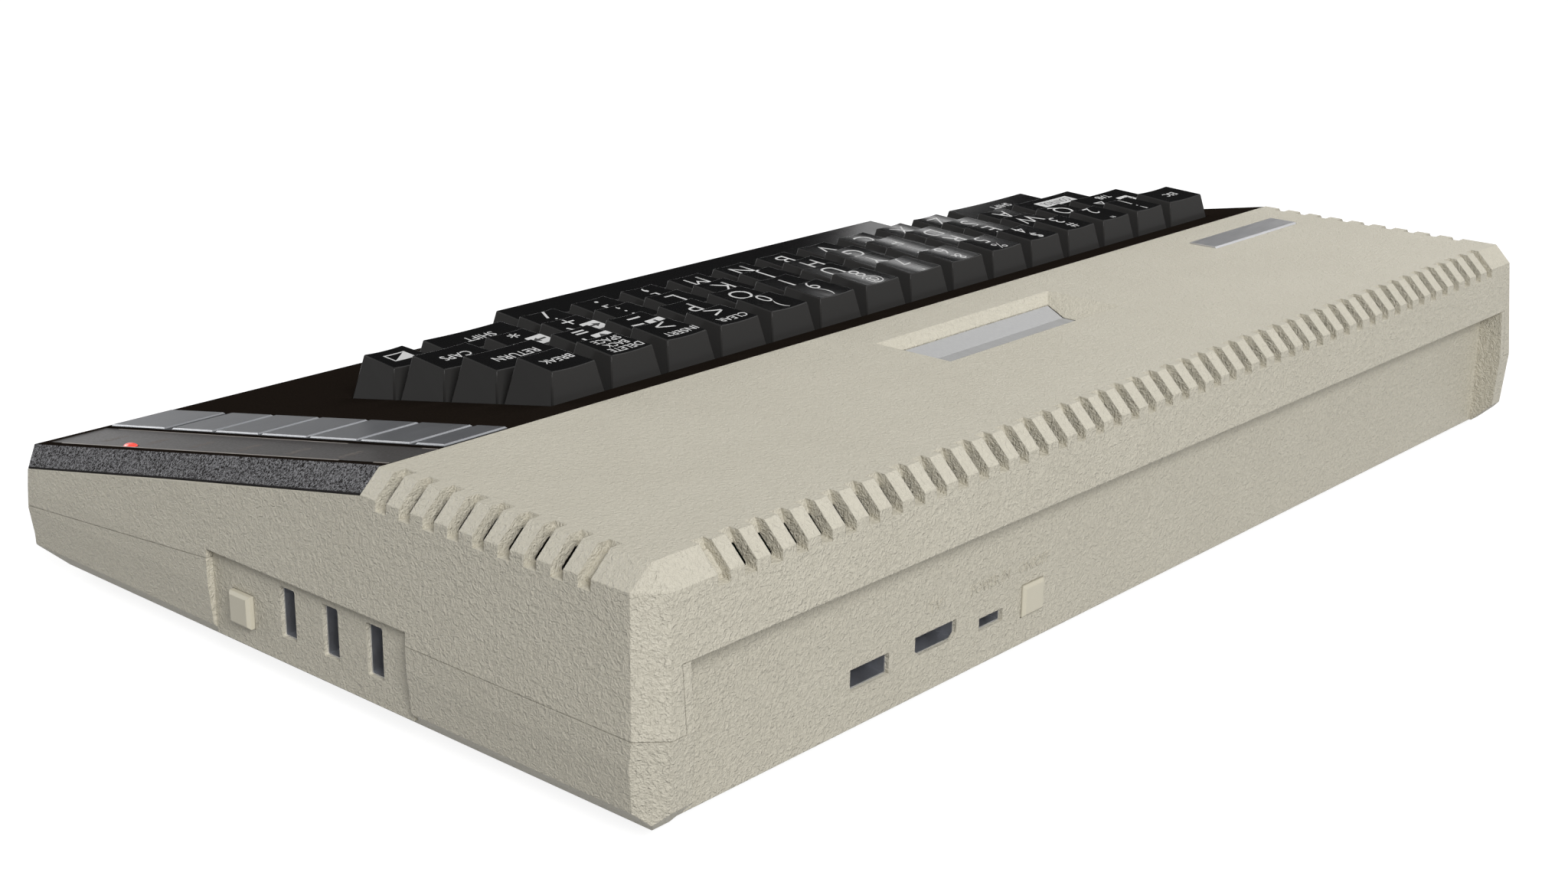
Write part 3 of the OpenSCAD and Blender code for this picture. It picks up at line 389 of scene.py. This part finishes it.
SLOT_MATERIALS = {
    "putty": putty,
    "bezel": bezel_plastic("bezel_dark"),
    "cap": cap_black,
    "label": overlay_plastic("overlay_grey"),
    "key_silver": console_metal("key_silver"),
    "door_silver": brushed_metal("door_silver", rgb(0.385, 0.385, 0.385), DOOR_LINES, 0.60, 0.09),
    "steel": plain("port_steel", rgb(0.55, 0.56, 0.59), 0.42, 1.0),
    "inner": inner_black,
    "board": plain("board_green", rgb(0.02, 0.12, 0.06), 0.45),
    "rubber": plain("rubber_grey", rgb(0.06, 0.06, 0.062), 0.8, 0.0, 900.0, 0.03),
    "lens": lens_red,
    "cable": plain("cable_grey", rgb(0.55, 0.55, 0.53), 0.6),
}
for part in frame["record"]["subparts"]:
    shown = nodes[part["node"]]
    shown.data.materials.clear()
    shown.data.materials.append(SLOT_MATERIALS[part["material_slot"]])
for name in ("power_button", "side_button"):
    nodes[name].data.materials[0] = smooth
nodes["nameplate"].data.materials[0] = plate_silver
nodes["console_key_board"].data.materials[0] = inner_black

# ---------- helpers for pieces ----------


def body_for(node):
    for name, members in frame["record"]["behaviour"]["bodies"].items():
        if node in members:
            return name
    raise KeyError(node)


def finish_piece(name, bm, materials, body, replaced=()):
    mesh = bpy.data.meshes.new(name)
    bm.to_mesh(mesh)
    bm.free()
    for m in materials:
        mesh.materials.append(m)
    made = bpy.data.objects.new(name, mesh)
    bpy.context.collection.objects.link(made)
    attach(made, body)
    if replaced:
        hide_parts(*replaced)


def pour(target, source):
    """Adds one finished small mesh to a larger one."""
    piece = bpy.data.meshes.new("pour")
    source.to_mesh(piece)
    source.free()
    target.from_mesh(piece)
    bpy.data.meshes.remove(piece)


def move(bm, x, y, z):
    bmesh.ops.translate(bm, verts=bm.verts, vec=(x, y, z))


def stretch(bm, x, y, z):
    bmesh.ops.scale(bm, verts=bm.verts, vec=(x, y, z))


def turn(bm, angle, axis):
    matrix = Matrix.Rotation(angle, 3, axis)
    bmesh.ops.rotate(bm, verts=bm.verts, cent=(0, 0, 0), matrix=matrix)


def bevel(bm, geom, offset, segments, affect="EDGES"):
    """Rounds edges or corners and returns the new faces."""
    return bmesh.ops.bevel(
        bm, geom=geom, offset=offset, segments=segments, profile=0.5, affect=affect, material=-1,
    )["faces"]


def cut(bm, place, normal):
    """Splits the faces along a plane and keeps both sides."""
    everything = bm.verts[:] + bm.edges[:] + bm.faces[:]
    bmesh.ops.bisect_plane(bm, geom=everything, plane_co=place, plane_no=normal, dist=CUT_DIST)


def inset(bm, faces, line):
    bmesh.ops.inset_region(
        bm, faces=faces, thickness=line, use_even_offset=True, use_boundary=True,
    )


def smooth_shade(faces):
    for face in faces:
        face.smooth = True


def extent(bm):
    """Lowest and highest x, then lowest and highest y."""
    xs, ys = [v.co.x for v in bm.verts], [v.co.y for v in bm.verts]
    return min(xs), max(xs), min(ys), max(ys)


# ---------- key caps ----------


def cap_box(row, c0, c1):
    """Left and right of one cap, and where its rear edge stands down the slope."""
    x0 = BLOCK_LEFT + c0 * KEY_U + CAP_GAP / 2
    x1 = BLOCK_LEFT + c1 * KEY_U - CAP_GAP / 2
    return x0, x1, -(FIRST_ROW + row * ROW_PITCH)


def top_span(x0, x1):
    """Middle and half width of a cap's top."""
    return (x0 + x1) / 2, (x1 - x0) / 2 - CAP_SIDE_IN


def top_z(down):
    """Height of a cap's flat top, from its rear edge at 0 to its front edge at 1."""
    return CAP_REAR_H + (CAP_FRONT_H - CAP_REAR_H) * down


def dish_planes(x0, x1):
    middle, half = top_span(x0, x1)
    return [middle + half * k / DISH_STEPS for k in range(1 - DISH_STEPS, DISH_STEPS)]


def cap_body(x0, x1, rear):
    """The solid tapered body of one cap, and its four upright edges."""
    cap = bmesh.new()
    bmesh.ops.create_cube(cap, size=1.0)
    high = set()
    for v in cap.verts:
        right_side, at_rear = v.co.x > 0, v.co.y > 0
        if v.co.z > 0:
            high.add(v)
            height = CAP_REAR_H if at_rear else CAP_FRONT_H
            lean = CAP_SIDE_IN * height / CAP_FRONT_H
            v.co.x = x1 - lean if right_side else x0 + lean
            v.co.y = rear - CAP_REAR_IN - (0.0 if at_rear else CAP_TOP_DEPTH)
            v.co.z = height
        else:
            y = rear - (0.0 if at_rear else CAP_DEPTH)
            v.co = Vector((x1 if right_side else x0, y, -CAP_SKIRT))
    return cap, [e for e in cap.edges if (e.verts[0] in high) != (e.verts[1] in high)]


def hollow_cap(cap, x0, x1, rear):
    """Opens the underside and moves its copy up under the top, to leave an even wall."""
    middle = (x0 + x1) / 2
    top_rear = rear - CAP_REAR_IN
    underside = min(cap.faces, key=lambda f: f.calc_center_median().z)
    bmesh.ops.inset_region(cap, faces=[underside], thickness=CAP_WALL, use_even_offset=True)
    pushed = bmesh.ops.extrude_face_region(cap, geom=[underside])["geom"]
    bmesh.ops.delete(cap, geom=[underside], context="FACES_ONLY")
    for v in (g for g in pushed if isinstance(g, bmesh.types.BMVert)):
        at_rear = v.co.y > rear - CAP_DEPTH / 2
        v.co.z = (CAP_REAR_H if at_rear else CAP_FRONT_H) - CAP_WALL
        v.co.y = top_rear - CAP_WALL if at_rear else top_rear - CAP_TOP_DEPTH + CAP_WALL
        reach = (x1 - x0) / 2 - CAP_WALL - CAP_SIDE_IN * v.co.z / CAP_FRONT_H
        v.co.x = middle + math.copysign(reach, v.co.x - middle)


def dish_cap(cap, x0, x1, rear, dish):
    """Sinks the middle of the top between its left and right edges."""
    middle, half = top_span(x0, x1)
    for x in dish_planes(x0, x1):
        cut(cap, (x, 0, 0), (1, 0, 0))
    for v in cap.verts:
        down = min(1.0, max(0.0, (rear - CAP_REAR_IN - v.co.y) / CAP_TOP_DEPTH))
        if v.co.z > top_z(down) - TOP_BAND:
            across = min(1.0, abs(v.co.x - middle) / half)
            v.co.z -= dish * (1.0 - across * across)


def add_cap(bm, row, c0, c1, dish, stems):
    """One hollow key cap on its stems, with rounded uprights and top edge, and a dished top."""
    x0, x1, rear = cap_box(row, c0, c1)
    cap, uprights = cap_body(x0, x1, rear)
    hollow_cap(cap, x0, x1, rear)
    smooth_shade(bevel(cap, uprights, UPRIGHT_ROUND, 4))
    top = max(cap.faces, key=lambda f: f.calc_center_median().z)
    smooth_shade(bevel(cap, top.edges[:], TOP_ROUND, 3))
    dish_cap(cap, x0, x1, rear, dish)
    for cell in stems:
        x = BLOCK_LEFT + cell * KEY_U
        place = (x, rear - CAP_DEPTH / 2, (STEM_TOP + STEM_END) / 2)
        bmesh.ops.create_cone(
            cap, cap_ends=True, segments=STEM_SIDES, radius1=STEM_R, radius2=STEM_R,
            depth=STEM_TOP - STEM_END, matrix=Matrix.Translation(place),
        )
    cap.transform(ON_SLOPE)
    pour(bm, cap)


# ---------- printed and raised marks ----------


def word(letters, height, width=None, whole=False):
    """Flat letters centred on the origin.

    The height is a capital's, or with whole that of the letters' own outline.
    """
    curve = bpy.data.curves.new("letters", "FONT")
    curve.body = letters
    curve.offset = THIN_STROKE if height > TALL_LETTER else 0.0
    curve.resolution_u = CURVE_STEPS
    flat = bpy.data.meshes.new_from_object(bpy.data.objects.new("letters", curve))
    bm = bmesh.new()
    bm.from_mesh(flat)
    bmesh.ops.remove_doubles(bm, verts=bm.verts, dist=CUT_DIST)
    left, right, bottom, top = extent(bm)
    low, high = (bottom, top) if whole else (0.0, CAPITAL_H)
    across = width / (right - left) if width else height / (high - low)
    move(bm, -(left + right) / 2, -(low + high) / 2, 0)
    stretch(bm, across, height / (high - low), 1)
    return bm


def tile(width, height, corner=0.0):
    """A flat rectangle centred on the origin."""
    bm = bmesh.new()
    bmesh.ops.create_grid(bm, x_segments=1, y_segments=1, size=0.5)
    stretch(bm, width, height, 1)
    if corner:
        bevel(bm, bm.verts[:], corner, 2, "VERTICES")
    return bm


def triangle(width, height):
    bm = bmesh.new()
    bmesh.ops.create_circle(bm, cap_ends=True, segments=3, radius=1.0)
    left, right, bottom, top = extent(bm)
    move(bm, -(left + right) / 2, -(bottom + top) / 2, 0)
    stretch(bm, width / (right - left), height / (top - bottom), 1)
    return bm


def outline(bm, line):
    """Leaves only a line along the edge of a flat shape."""
    inner = bm.faces[:]
    inset(bm, inner, line)
    bmesh.ops.delete(bm, geom=inner, context="FACES")
    return bm


def half_filled_frame(width, height, line):
    """A frame whose upper left half is filled, for the inverse key."""
    bm = tile(width, height)
    inset(bm, bm.faces[:], line)
    across = Vector((height, -width, 0))
    cut(bm, (0, 0, 0), across)
    reach_x, reach_y = width / 2 - line / 2, height / 2 - line / 2
    emptied = [
        f for f in bm.faces
        if f.calc_center_median().dot(across) > 0
        and all(abs(v.co.x) < reach_x and abs(v.co.y) < reach_y for v in f.verts)
    ]
    bmesh.ops.delete(bm, geom=emptied, context="FACES")
    return bm


def arrow(turns):
    """A short arrow that points up, or a number of quarter turns to the left of that."""
    bm = tile(0.8, 2.4)
    move(bm, 0, -0.8, 0)
    point = triangle(2.6, 2.0)
    move(point, 0, 1.3, 0)
    pour(bm, point)
    turn(bm, turns * math.pi / 2, "Z")
    return bm


def slash(width, height):
    """A slanting stroke from the lower left to the upper right of its box."""
    bm = tile(STROKE, math.hypot(width, height))
    turn(bm, -math.atan2(width, height), "Z")
    return bm


def thicken(bm, thickness):
    """Gives a flat mark a body."""
    lower = set(bm.verts)
    bmesh.ops.extrude_face_region(bm, geom=bm.faces[:])
    upper = [v for v in bm.verts if v not in lower]
    bmesh.ops.translate(bm, verts=upper, vec=(0, 0, thickness))
    bmesh.ops.recalc_face_normals(bm, faces=bm.faces)


def lay_on_cap(target, mark, box, dx, dy, ink, dish):
    """Prints one flat mark on a cap: bent to the dish, a touch proud of the top."""
    x0, x1, rear = box
    middle, half = top_span(x0, x1)
    top_rear = rear - CAP_REAR_IN
    move(mark, middle + dx, top_rear - CAP_TOP_DEPTH / 2 + dy, 0)
    for x in dish_planes(x0, x1):
        cut(mark, (x, 0, 0), (1, 0, 0))
    thicken(mark, MARK_T + BLACK_EXTRA_T * ink)
    step = half / DISH_STEPS
    for v in mark.verts:
        down = (top_rear - v.co.y) / CAP_TOP_DEPTH
        k = min(DISH_STEPS - 1e-6, abs(v.co.x - middle) / step)
        inner, share = int(k), k - int(k)
        bend = 1 - ((1 - share) * inner ** 2 + share * (inner + 1) ** 2) / DISH_STEPS ** 2
        v.co.z += top_z(down) - dish * bend - MARK_SUNK
    for face in mark.faces:
        face.material_index = ink
    mark.transform(ON_SLOPE)
    pour(target, mark)


# A mark is a shape, its place in mm to the right and to the rear of the top's middle, and the
# index of its ink.
WHITE, BLACK = 0, 1


def text(letters, height, width, dx, dy, ink=WHITE):
    return (lambda: word(letters, height, width)), dx, dy, ink


def symbol(sign, height, width, dx, dy):
    return (lambda: word(sign, height, width, True)), dx, dy, WHITE


def bar(width, height, dx, dy, corner=0.0):
    return (lambda: tile(width, height, corner)), dx, dy, WHITE


def boxed_arrow(turns):
    dx, dy = -3.75, 2.85
    return [bar(5.5, 5.7, dx, dy, BOX_CORNER), ((lambda: arrow(turns)), dx, dy, BLACK)]


MARKS = {}
for column, (digit, sign) in enumerate(zip("1234567890", "!\"#$%&'@()")):
    MARKS[0, column + 1] = [
        text(digit, 5.2, None, -0.65, -3.15), text(sign, 4.2, None, -0.5, 3.1),
    ]
for row, letters in ((1, "QWERTYUIOP"), (2, "ASDFGHJKL"), (3, "ZXCVBNM")):
    for column, letter in enumerate(letters):
        MARKS[row, column + 1] = [text(letter, 6.4, None, -0.4, -0.7)]
MARKS.update({
    (0, 0): [text("ESC", 2.6, 6.0, -0.6, 0.0)],
    (0, 11): [symbol("<", 4.8, 4.6, -1.1, -3.0), text("CLEAR", 2.4, 10.0, -0.9, 2.9)],
    (0, 12): [symbol(">", 4.8, 4.6, -1.0, -3.0), text("INSERT", 2.4, 11.0, -1.1, 2.9)],
    (0, 13): [
        text("DELETE", 2.4, 10.4, -0.8, 3.4),
        text("BACK", 2.4, 7.2, -0.8, 0.1),
        text("SPACE", 2.4, 8.6, -0.8, -3.2),
    ],
    (0, 14): [text("BREAK", 2.5, 9.4, -0.7, -0.1)],
    (1, 0): [
        text("TAB", 2.8, 6.6, -0.3, -2.8),
        ((lambda: outline(triangle(5.0, 3.0), 0.5)), 7.3, 1.6, WHITE),
        bar(6.0, 5.3, -5.8, 3.0, BOX_CORNER),
        text("SET", 2.2, 4.4, -5.8, 3.0, BLACK),
    ],
    (1, 11): [bar(4.4, STROKE, -0.7, -3.3), bar(4.2, STROKE, 2.3, 1.2), *boxed_arrow(0)],
    (1, 12): [
        bar(4.0, 0.7, -0.7, -2.4), bar(4.0, 0.7, -0.7, -4.0), bar(STROKE, 4.6, 2.3, 3.1),
        *boxed_arrow(2),
    ],
    (1, 13): [text("RETURN", 3.0, 13.7, -0.35, -0.1)],
    (2, 0): [
        bar(18.2, 5.3, -0.4, -0.45, BOX_CORNER),
        text("CONTROL", 2.8, 15.0, -0.4, -0.45, BLACK),
    ],
    (2, 10): [symbol(";", 4.4, None, -0.5, -3.0), symbol(":", 3.6, None, -0.5, 3.0)],
    (2, 11): [
        symbol("+", 4.2, 4.2, -0.45, -3.35),
        ((lambda: slash(-1.9, 4.5)), 2.75, 2.75, WHITE),
        *boxed_arrow(1),
    ],
    (2, 12): [
        symbol("*", 3.2, 3.2, -0.5, -3.3), symbol("^", 2.6, 3.4, 3.0, 3.4), *boxed_arrow(3),
    ],
    (2, 13): [text("CAPS", 3.0, 9.0, -0.2, -0.2)],
    (3, 0): [text("SHIFT", 3.0, 10.0, -0.5, -0.4)],
    (3, 8): [symbol(",", 3.0, 1.3, -0.6, -3.5), symbol("[", 5.2, 2.4, -0.6, 2.4)],
    (3, 9): [bar(1.1, 1.1, -0.9, -3.6, BOX_CORNER), symbol("]", 5.2, 2.4, -0.6, 2.4)],
    (3, 10): [
        ((lambda: slash(2.5, 4.7)), -0.65, -3.4, WHITE), symbol("?", 5.0, None, -0.7, 2.7),
    ],
    (3, 11): [text("SHIFT", 3.0, 10.0, -0.6, -0.2)],
    (3, 12): [((lambda: half_filled_frame(6.6, 4.8, 0.45)), -0.35, -0.35, WHITE)],
})


def singles(first, count):
    """Cells of a run of single-width keys."""
    return [(first + i, first + i + 1) for i in range(count)]


# left and right of every cap, in key widths from the left of the block
ROW_CELLS = [
    [(0, 1.25)] + singles(1.25, 14),
    [(0, 1.75)] + singles(1.75, 12) + [(13.75, ROW_UNITS)],
    [(0, 2)] + singles(2, 12) + [(14, ROW_UNITS)],
    [(0, 2.5)] + singles(2.5, 10) + [(12.5, 14.25), (14.25, ROW_UNITS)],
    [(3.05, 12.05)],
]
# row and columns of the caps of every node
CAP_NODES = {
    "esc_key": (0, [0]),
    "number_keys": (0, range(1, 13)),
    "delete_key": (0, [13]),
    "break_key": (0, [14]),
    "tab_key": (1, [0]),
    "upper_row_keys": (1, range(1, 13)),
    "return_key": (1, [13]),
    "control_key": (2, [0]),
    "home_row_keys": (2, range(1, 13)),
    "caps_key": (2, [13]),
    "left_shift_key": (3, [0]),
    "lower_row_keys": (3, range(1, 11)),
    "right_shift_key": (3, [11]),
    "inverse_key": (3, [12]),
    "space_bar": (4, [0]),
}
for node, (row, columns) in CAP_NODES.items():
    caps, prints = bmesh.new(), bmesh.new()
    is_space = node == "space_bar"
    dish = 0.0 if is_space else DISH
    for column in columns:
        cells = ROW_CELLS[row][column]
        centre = (cells[0] + cells[1]) / 2
        stems = [centre - SPACE_STEM, centre, centre + SPACE_STEM] if is_space else [centre]
        add_cap(caps, row, *cells, dish, stems)
        for shape, dx, dy, ink in MARKS.get((row, column), []):
            lay_on_cap(prints, shape(), cap_box(row, *cells), dx, dy, ink, dish)
    finish_piece(node + "_look", caps, [cap_black], body_for(node), [node])
    if prints.faces:
        finish_piece(node + "_legend", prints, [ink_white, ink_black], body_for(node))
    else:
        prints.free()

# ---------- label strip, its words and the lamp ----------


def across_slope(edge, s):
    """X of a line that runs down the slope between its rear and front ends."""
    return edge[0] + (edge[1] - edge[0]) * s / SLOPE_LEN


def bead(target, edge, s0, s1, width, low, high):
    """A thin raised line down the slope, its inner side on the edge."""
    bm = bmesh.new()
    bmesh.ops.create_cube(bm, size=1.0)
    for v in bm.verts:
        s = s0 if v.co.y > 0 else s1
        x = across_slope(edge, s) + (width if v.co.x > 0 else 0.0)
        v.co = Vector((x, -s, high if v.co.z > 0 else low))
    middle = (low + high) / 2
    bevel(bm, [e for e in bm.edges if all(v.co.z > middle for v in e.verts)], RIM_ROUND, 2)
    bm.transform(ON_SLOPE)
    pour(target, bm)


# painted highlight: a light bead along the rim stands in for light caught on its rounded top edge
rims = bmesh.new()
for s0, s1 in ((0.6, 5.6), (17.5, 127.5)):
    bead(rims, LABEL_EDGE, s0, s1, 0.42, -0.2, 0.06)
finish_piece("label_rim_highlight", rims, [bead_highlight_and_line], body_for("keyboard_bezel"))
rims = bmesh.new()
for s0, s1 in ((2.0, 7.3), (33.8, 129.0)):
    bead(rims, (LABEL_LINE_X, LABEL_LINE_X), s0, s1, 0.3, LABEL_H - 0.1, LABEL_H + 0.05)
finish_piece("label_inner_line", rims, [bead_highlight_and_line], body_for("label_strip"))

words = bmesh.new()
for k, letters in enumerate(("HELP", "START", "SELECT", "OPTION", "RESET", "POWER")):
    flat = word(letters, *LABEL_WORD)
    thicken(flat, LABEL_WORD_T)
    s = CONSOLE_FIRST + (k + 0.5) * CONSOLE_PITCH
    move(flat, LABEL_WORD_X, -s, LABEL_H - LABEL_WORD_SUNK)
    flat.transform(ON_SLOPE)
    pour(words, flat)
finish_piece("label_words", words, [ink_dim], body_for("label_strip"))

lamp = bmesh.new()
bmesh.ops.create_uvsphere(lamp, u_segments=28, v_segments=14, radius=1.0)
stretch(lamp, *LAMP_HALF)
for v in lamp.verts:
    v.co.z = max(v.co.z, 0.0) if v.co.z > LAMP_RIM_Z else LAMP_FOOT_Z
move(lamp, *LAMP_PLACE)
smooth_shade(lamp.faces)
lamp.transform(ON_SLOPE)
finish_piece("power_lamp_dome", lamp, [lens_red], body_for("power_lamp"), ["power_lamp"])

# ---------- raised letters above the rear sockets ----------

# height and width, then x and z of the middle
REAR_WORDS = (
    ("TV", 2.4, 4.6, 94.5, 22.0),
    ("POWER IN", 2.4, 14.6, 74.2, 21.7),
    ("ON/OFF", 2.4, 12.2, 57.2, 21.7),
)
# they are read from the rear, so they face +Y
FACE_REAR = Matrix.Rotation(math.pi, 4, "Z") @ Matrix.Rotation(math.pi / 2, 4, "X")

raised = bmesh.new()
for letters, height, width, x, z in REAR_WORDS:
    flat = word(letters, height, width)
    thicken(flat, REAR_LETTER_T)
    place = Matrix.Translation((x, PANEL_Y - REAR_LETTER_SUNK, z))
    flat.transform(Matrix.Scale(MM, 4) @ place @ FACE_REAR)
    pour(raised, flat)
finish_piece("rear_letters", raised, [putty], body_for("lower_shell"))

# ---------- room, camera and light, in metres ----------

FLOOR_SIZE = 14.0
FLOOR_GLOW = 0.86
CARD_SIZE = (3.3, 3.2)
CARD_TURN = math.radians(-46)
CARD_PLACE = (-3.60, -3.47, 1.605)
AMBIENT = 0.18
BACKDROP = 0.8
# right, up and back axes of the camera, and its place in the last column
CAMERA_POSE = (
    (-0.660023914, -0.224608480, 0.716881764, 0.450313733),
    (0.751120374, -0.214654894, 0.624292767, 0.367993787),
    (0.013660730, 0.950512655, 0.310385369, 0.203949550),
    (0.0, 0.0, 0.0, 1.0),
)
# name, place, target, size and power in watts
LAMPS = (
    ("key_light", (1.09, 1.90, 1.38), (0.0, 0.0, 0.0), (1.0, 1.0), 55.0),
    ("front_fill", (0.40, -1.90, 0.60), (0.0, 0.0, 0.03), (0.8, 0.8), 12.0),
    ("top_light", (-0.50, 0.10, 0.70), (0.0, 0.0, 0.05), (0.5, 0.5), 2.0),
    ("soft_glint", (-1.71, -1.23, 0.74), (0.0, 0.0, 0.06), (0.15, 0.17), 0.32),
)


def light_path(tree):
    """1 for rays from the camera, mirrors and glass, 0 for the rays that light surfaces."""
    path = tree.nodes.new("ShaderNodeLightPath").outputs
    total = path["Is Camera Ray"]
    for kind in ("Is Glossy Ray", "Is Transmission Ray"):
        most = tree.nodes.new("ShaderNodeMath")
        most.operation = "MAXIMUM"
        tree.links.new(total, most.inputs[0])
        tree.links.new(path[kind], most.inputs[1])
        total = most.outputs["Value"]
    return total


def area_light(name, place, target, size, power):
    data = bpy.data.lights.new(name, "AREA")
    data.shape = "RECTANGLE"
    data.size, data.size_y = size
    data.energy = power
    made = bpy.data.objects.new(name, data)
    bpy.context.collection.objects.link(made)
    made.location = place
    made.rotation_mode = "QUATERNION"
    made.rotation_quaternion = (Vector(target) - Vector(place)).to_track_quat("-Z", "Y")


bpy.ops.mesh.primitive_plane_add(size=FLOOR_SIZE, location=(0.0, 0.0, 0.0))
floor = bpy.context.object
floor.name = "floor"
floor_look = Shader("floor_pale")
floor_look.set(
    Base_Color=rgb(0.27, 0.27, 0.27), Roughness=0.9, Emission_Color=rgb(1.0, 1.0, 1.0),
    Emission_Strength=floor_look.math("MULTIPLY", light_path(floor_look.tree), FLOOR_GLOW),
)
floor.data.materials.append(floor_look.material)

# a dark card on the far side, out of view, that the keys and the bezel mirror
card_mesh = bpy.data.meshes.new("dark_card")
sheet = tile(*CARD_SIZE)
turn(sheet, math.pi / 2, "X")
turn(sheet, CARD_TURN, "Z")
move(sheet, *CARD_PLACE)
sheet.to_mesh(card_mesh)
sheet.free()
card = bpy.data.objects.new("dark_card", card_mesh)
bpy.context.collection.objects.link(card)
card_mesh.materials.append(plain("card_black", rgb(0.012, 0.012, 0.012), 0.9))

camera_data = bpy.data.cameras.new("camera")
camera_data.lens = 50.0
camera_data.sensor_width = 36.0
camera_data.clip_start = 0.01
camera = bpy.data.objects.new("camera", camera_data)
bpy.context.collection.objects.link(camera)
camera.matrix_world = Matrix(CAMERA_POSE)
bpy.context.scene.camera = camera

for lamp_values in LAMPS:
    area_light(*lamp_values)

world = bpy.data.worlds.new("studio")
bpy.context.scene.world = world
world.use_nodes = True
tree = world.node_tree
ambient = tree.nodes["Background"]
ambient.inputs["Color"].default_value = rgb(1.0, 1.0, 1.0)
ambient.inputs["Strength"].default_value = AMBIENT
# a light grey, not white: it shows above the floor in low views and in reflections
backdrop = tree.nodes.new("ShaderNodeBackground")
backdrop.inputs["Color"].default_value = rgb(BACKDROP, BACKDROP, BACKDROP)
backdrop.inputs["Strength"].default_value = 1.0
choose = tree.nodes.new("ShaderNodeMixShader")
tree.links.new(light_path(tree), choose.inputs["Fac"])
tree.links.new(ambient.outputs["Background"], choose.inputs[1])
tree.links.new(backdrop.outputs["Background"], choose.inputs[2])
tree.links.new(choose.outputs["Shader"], tree.nodes["World Output"].inputs["Surface"])

bpy.context.scene.view_settings.view_transform = "Standard"
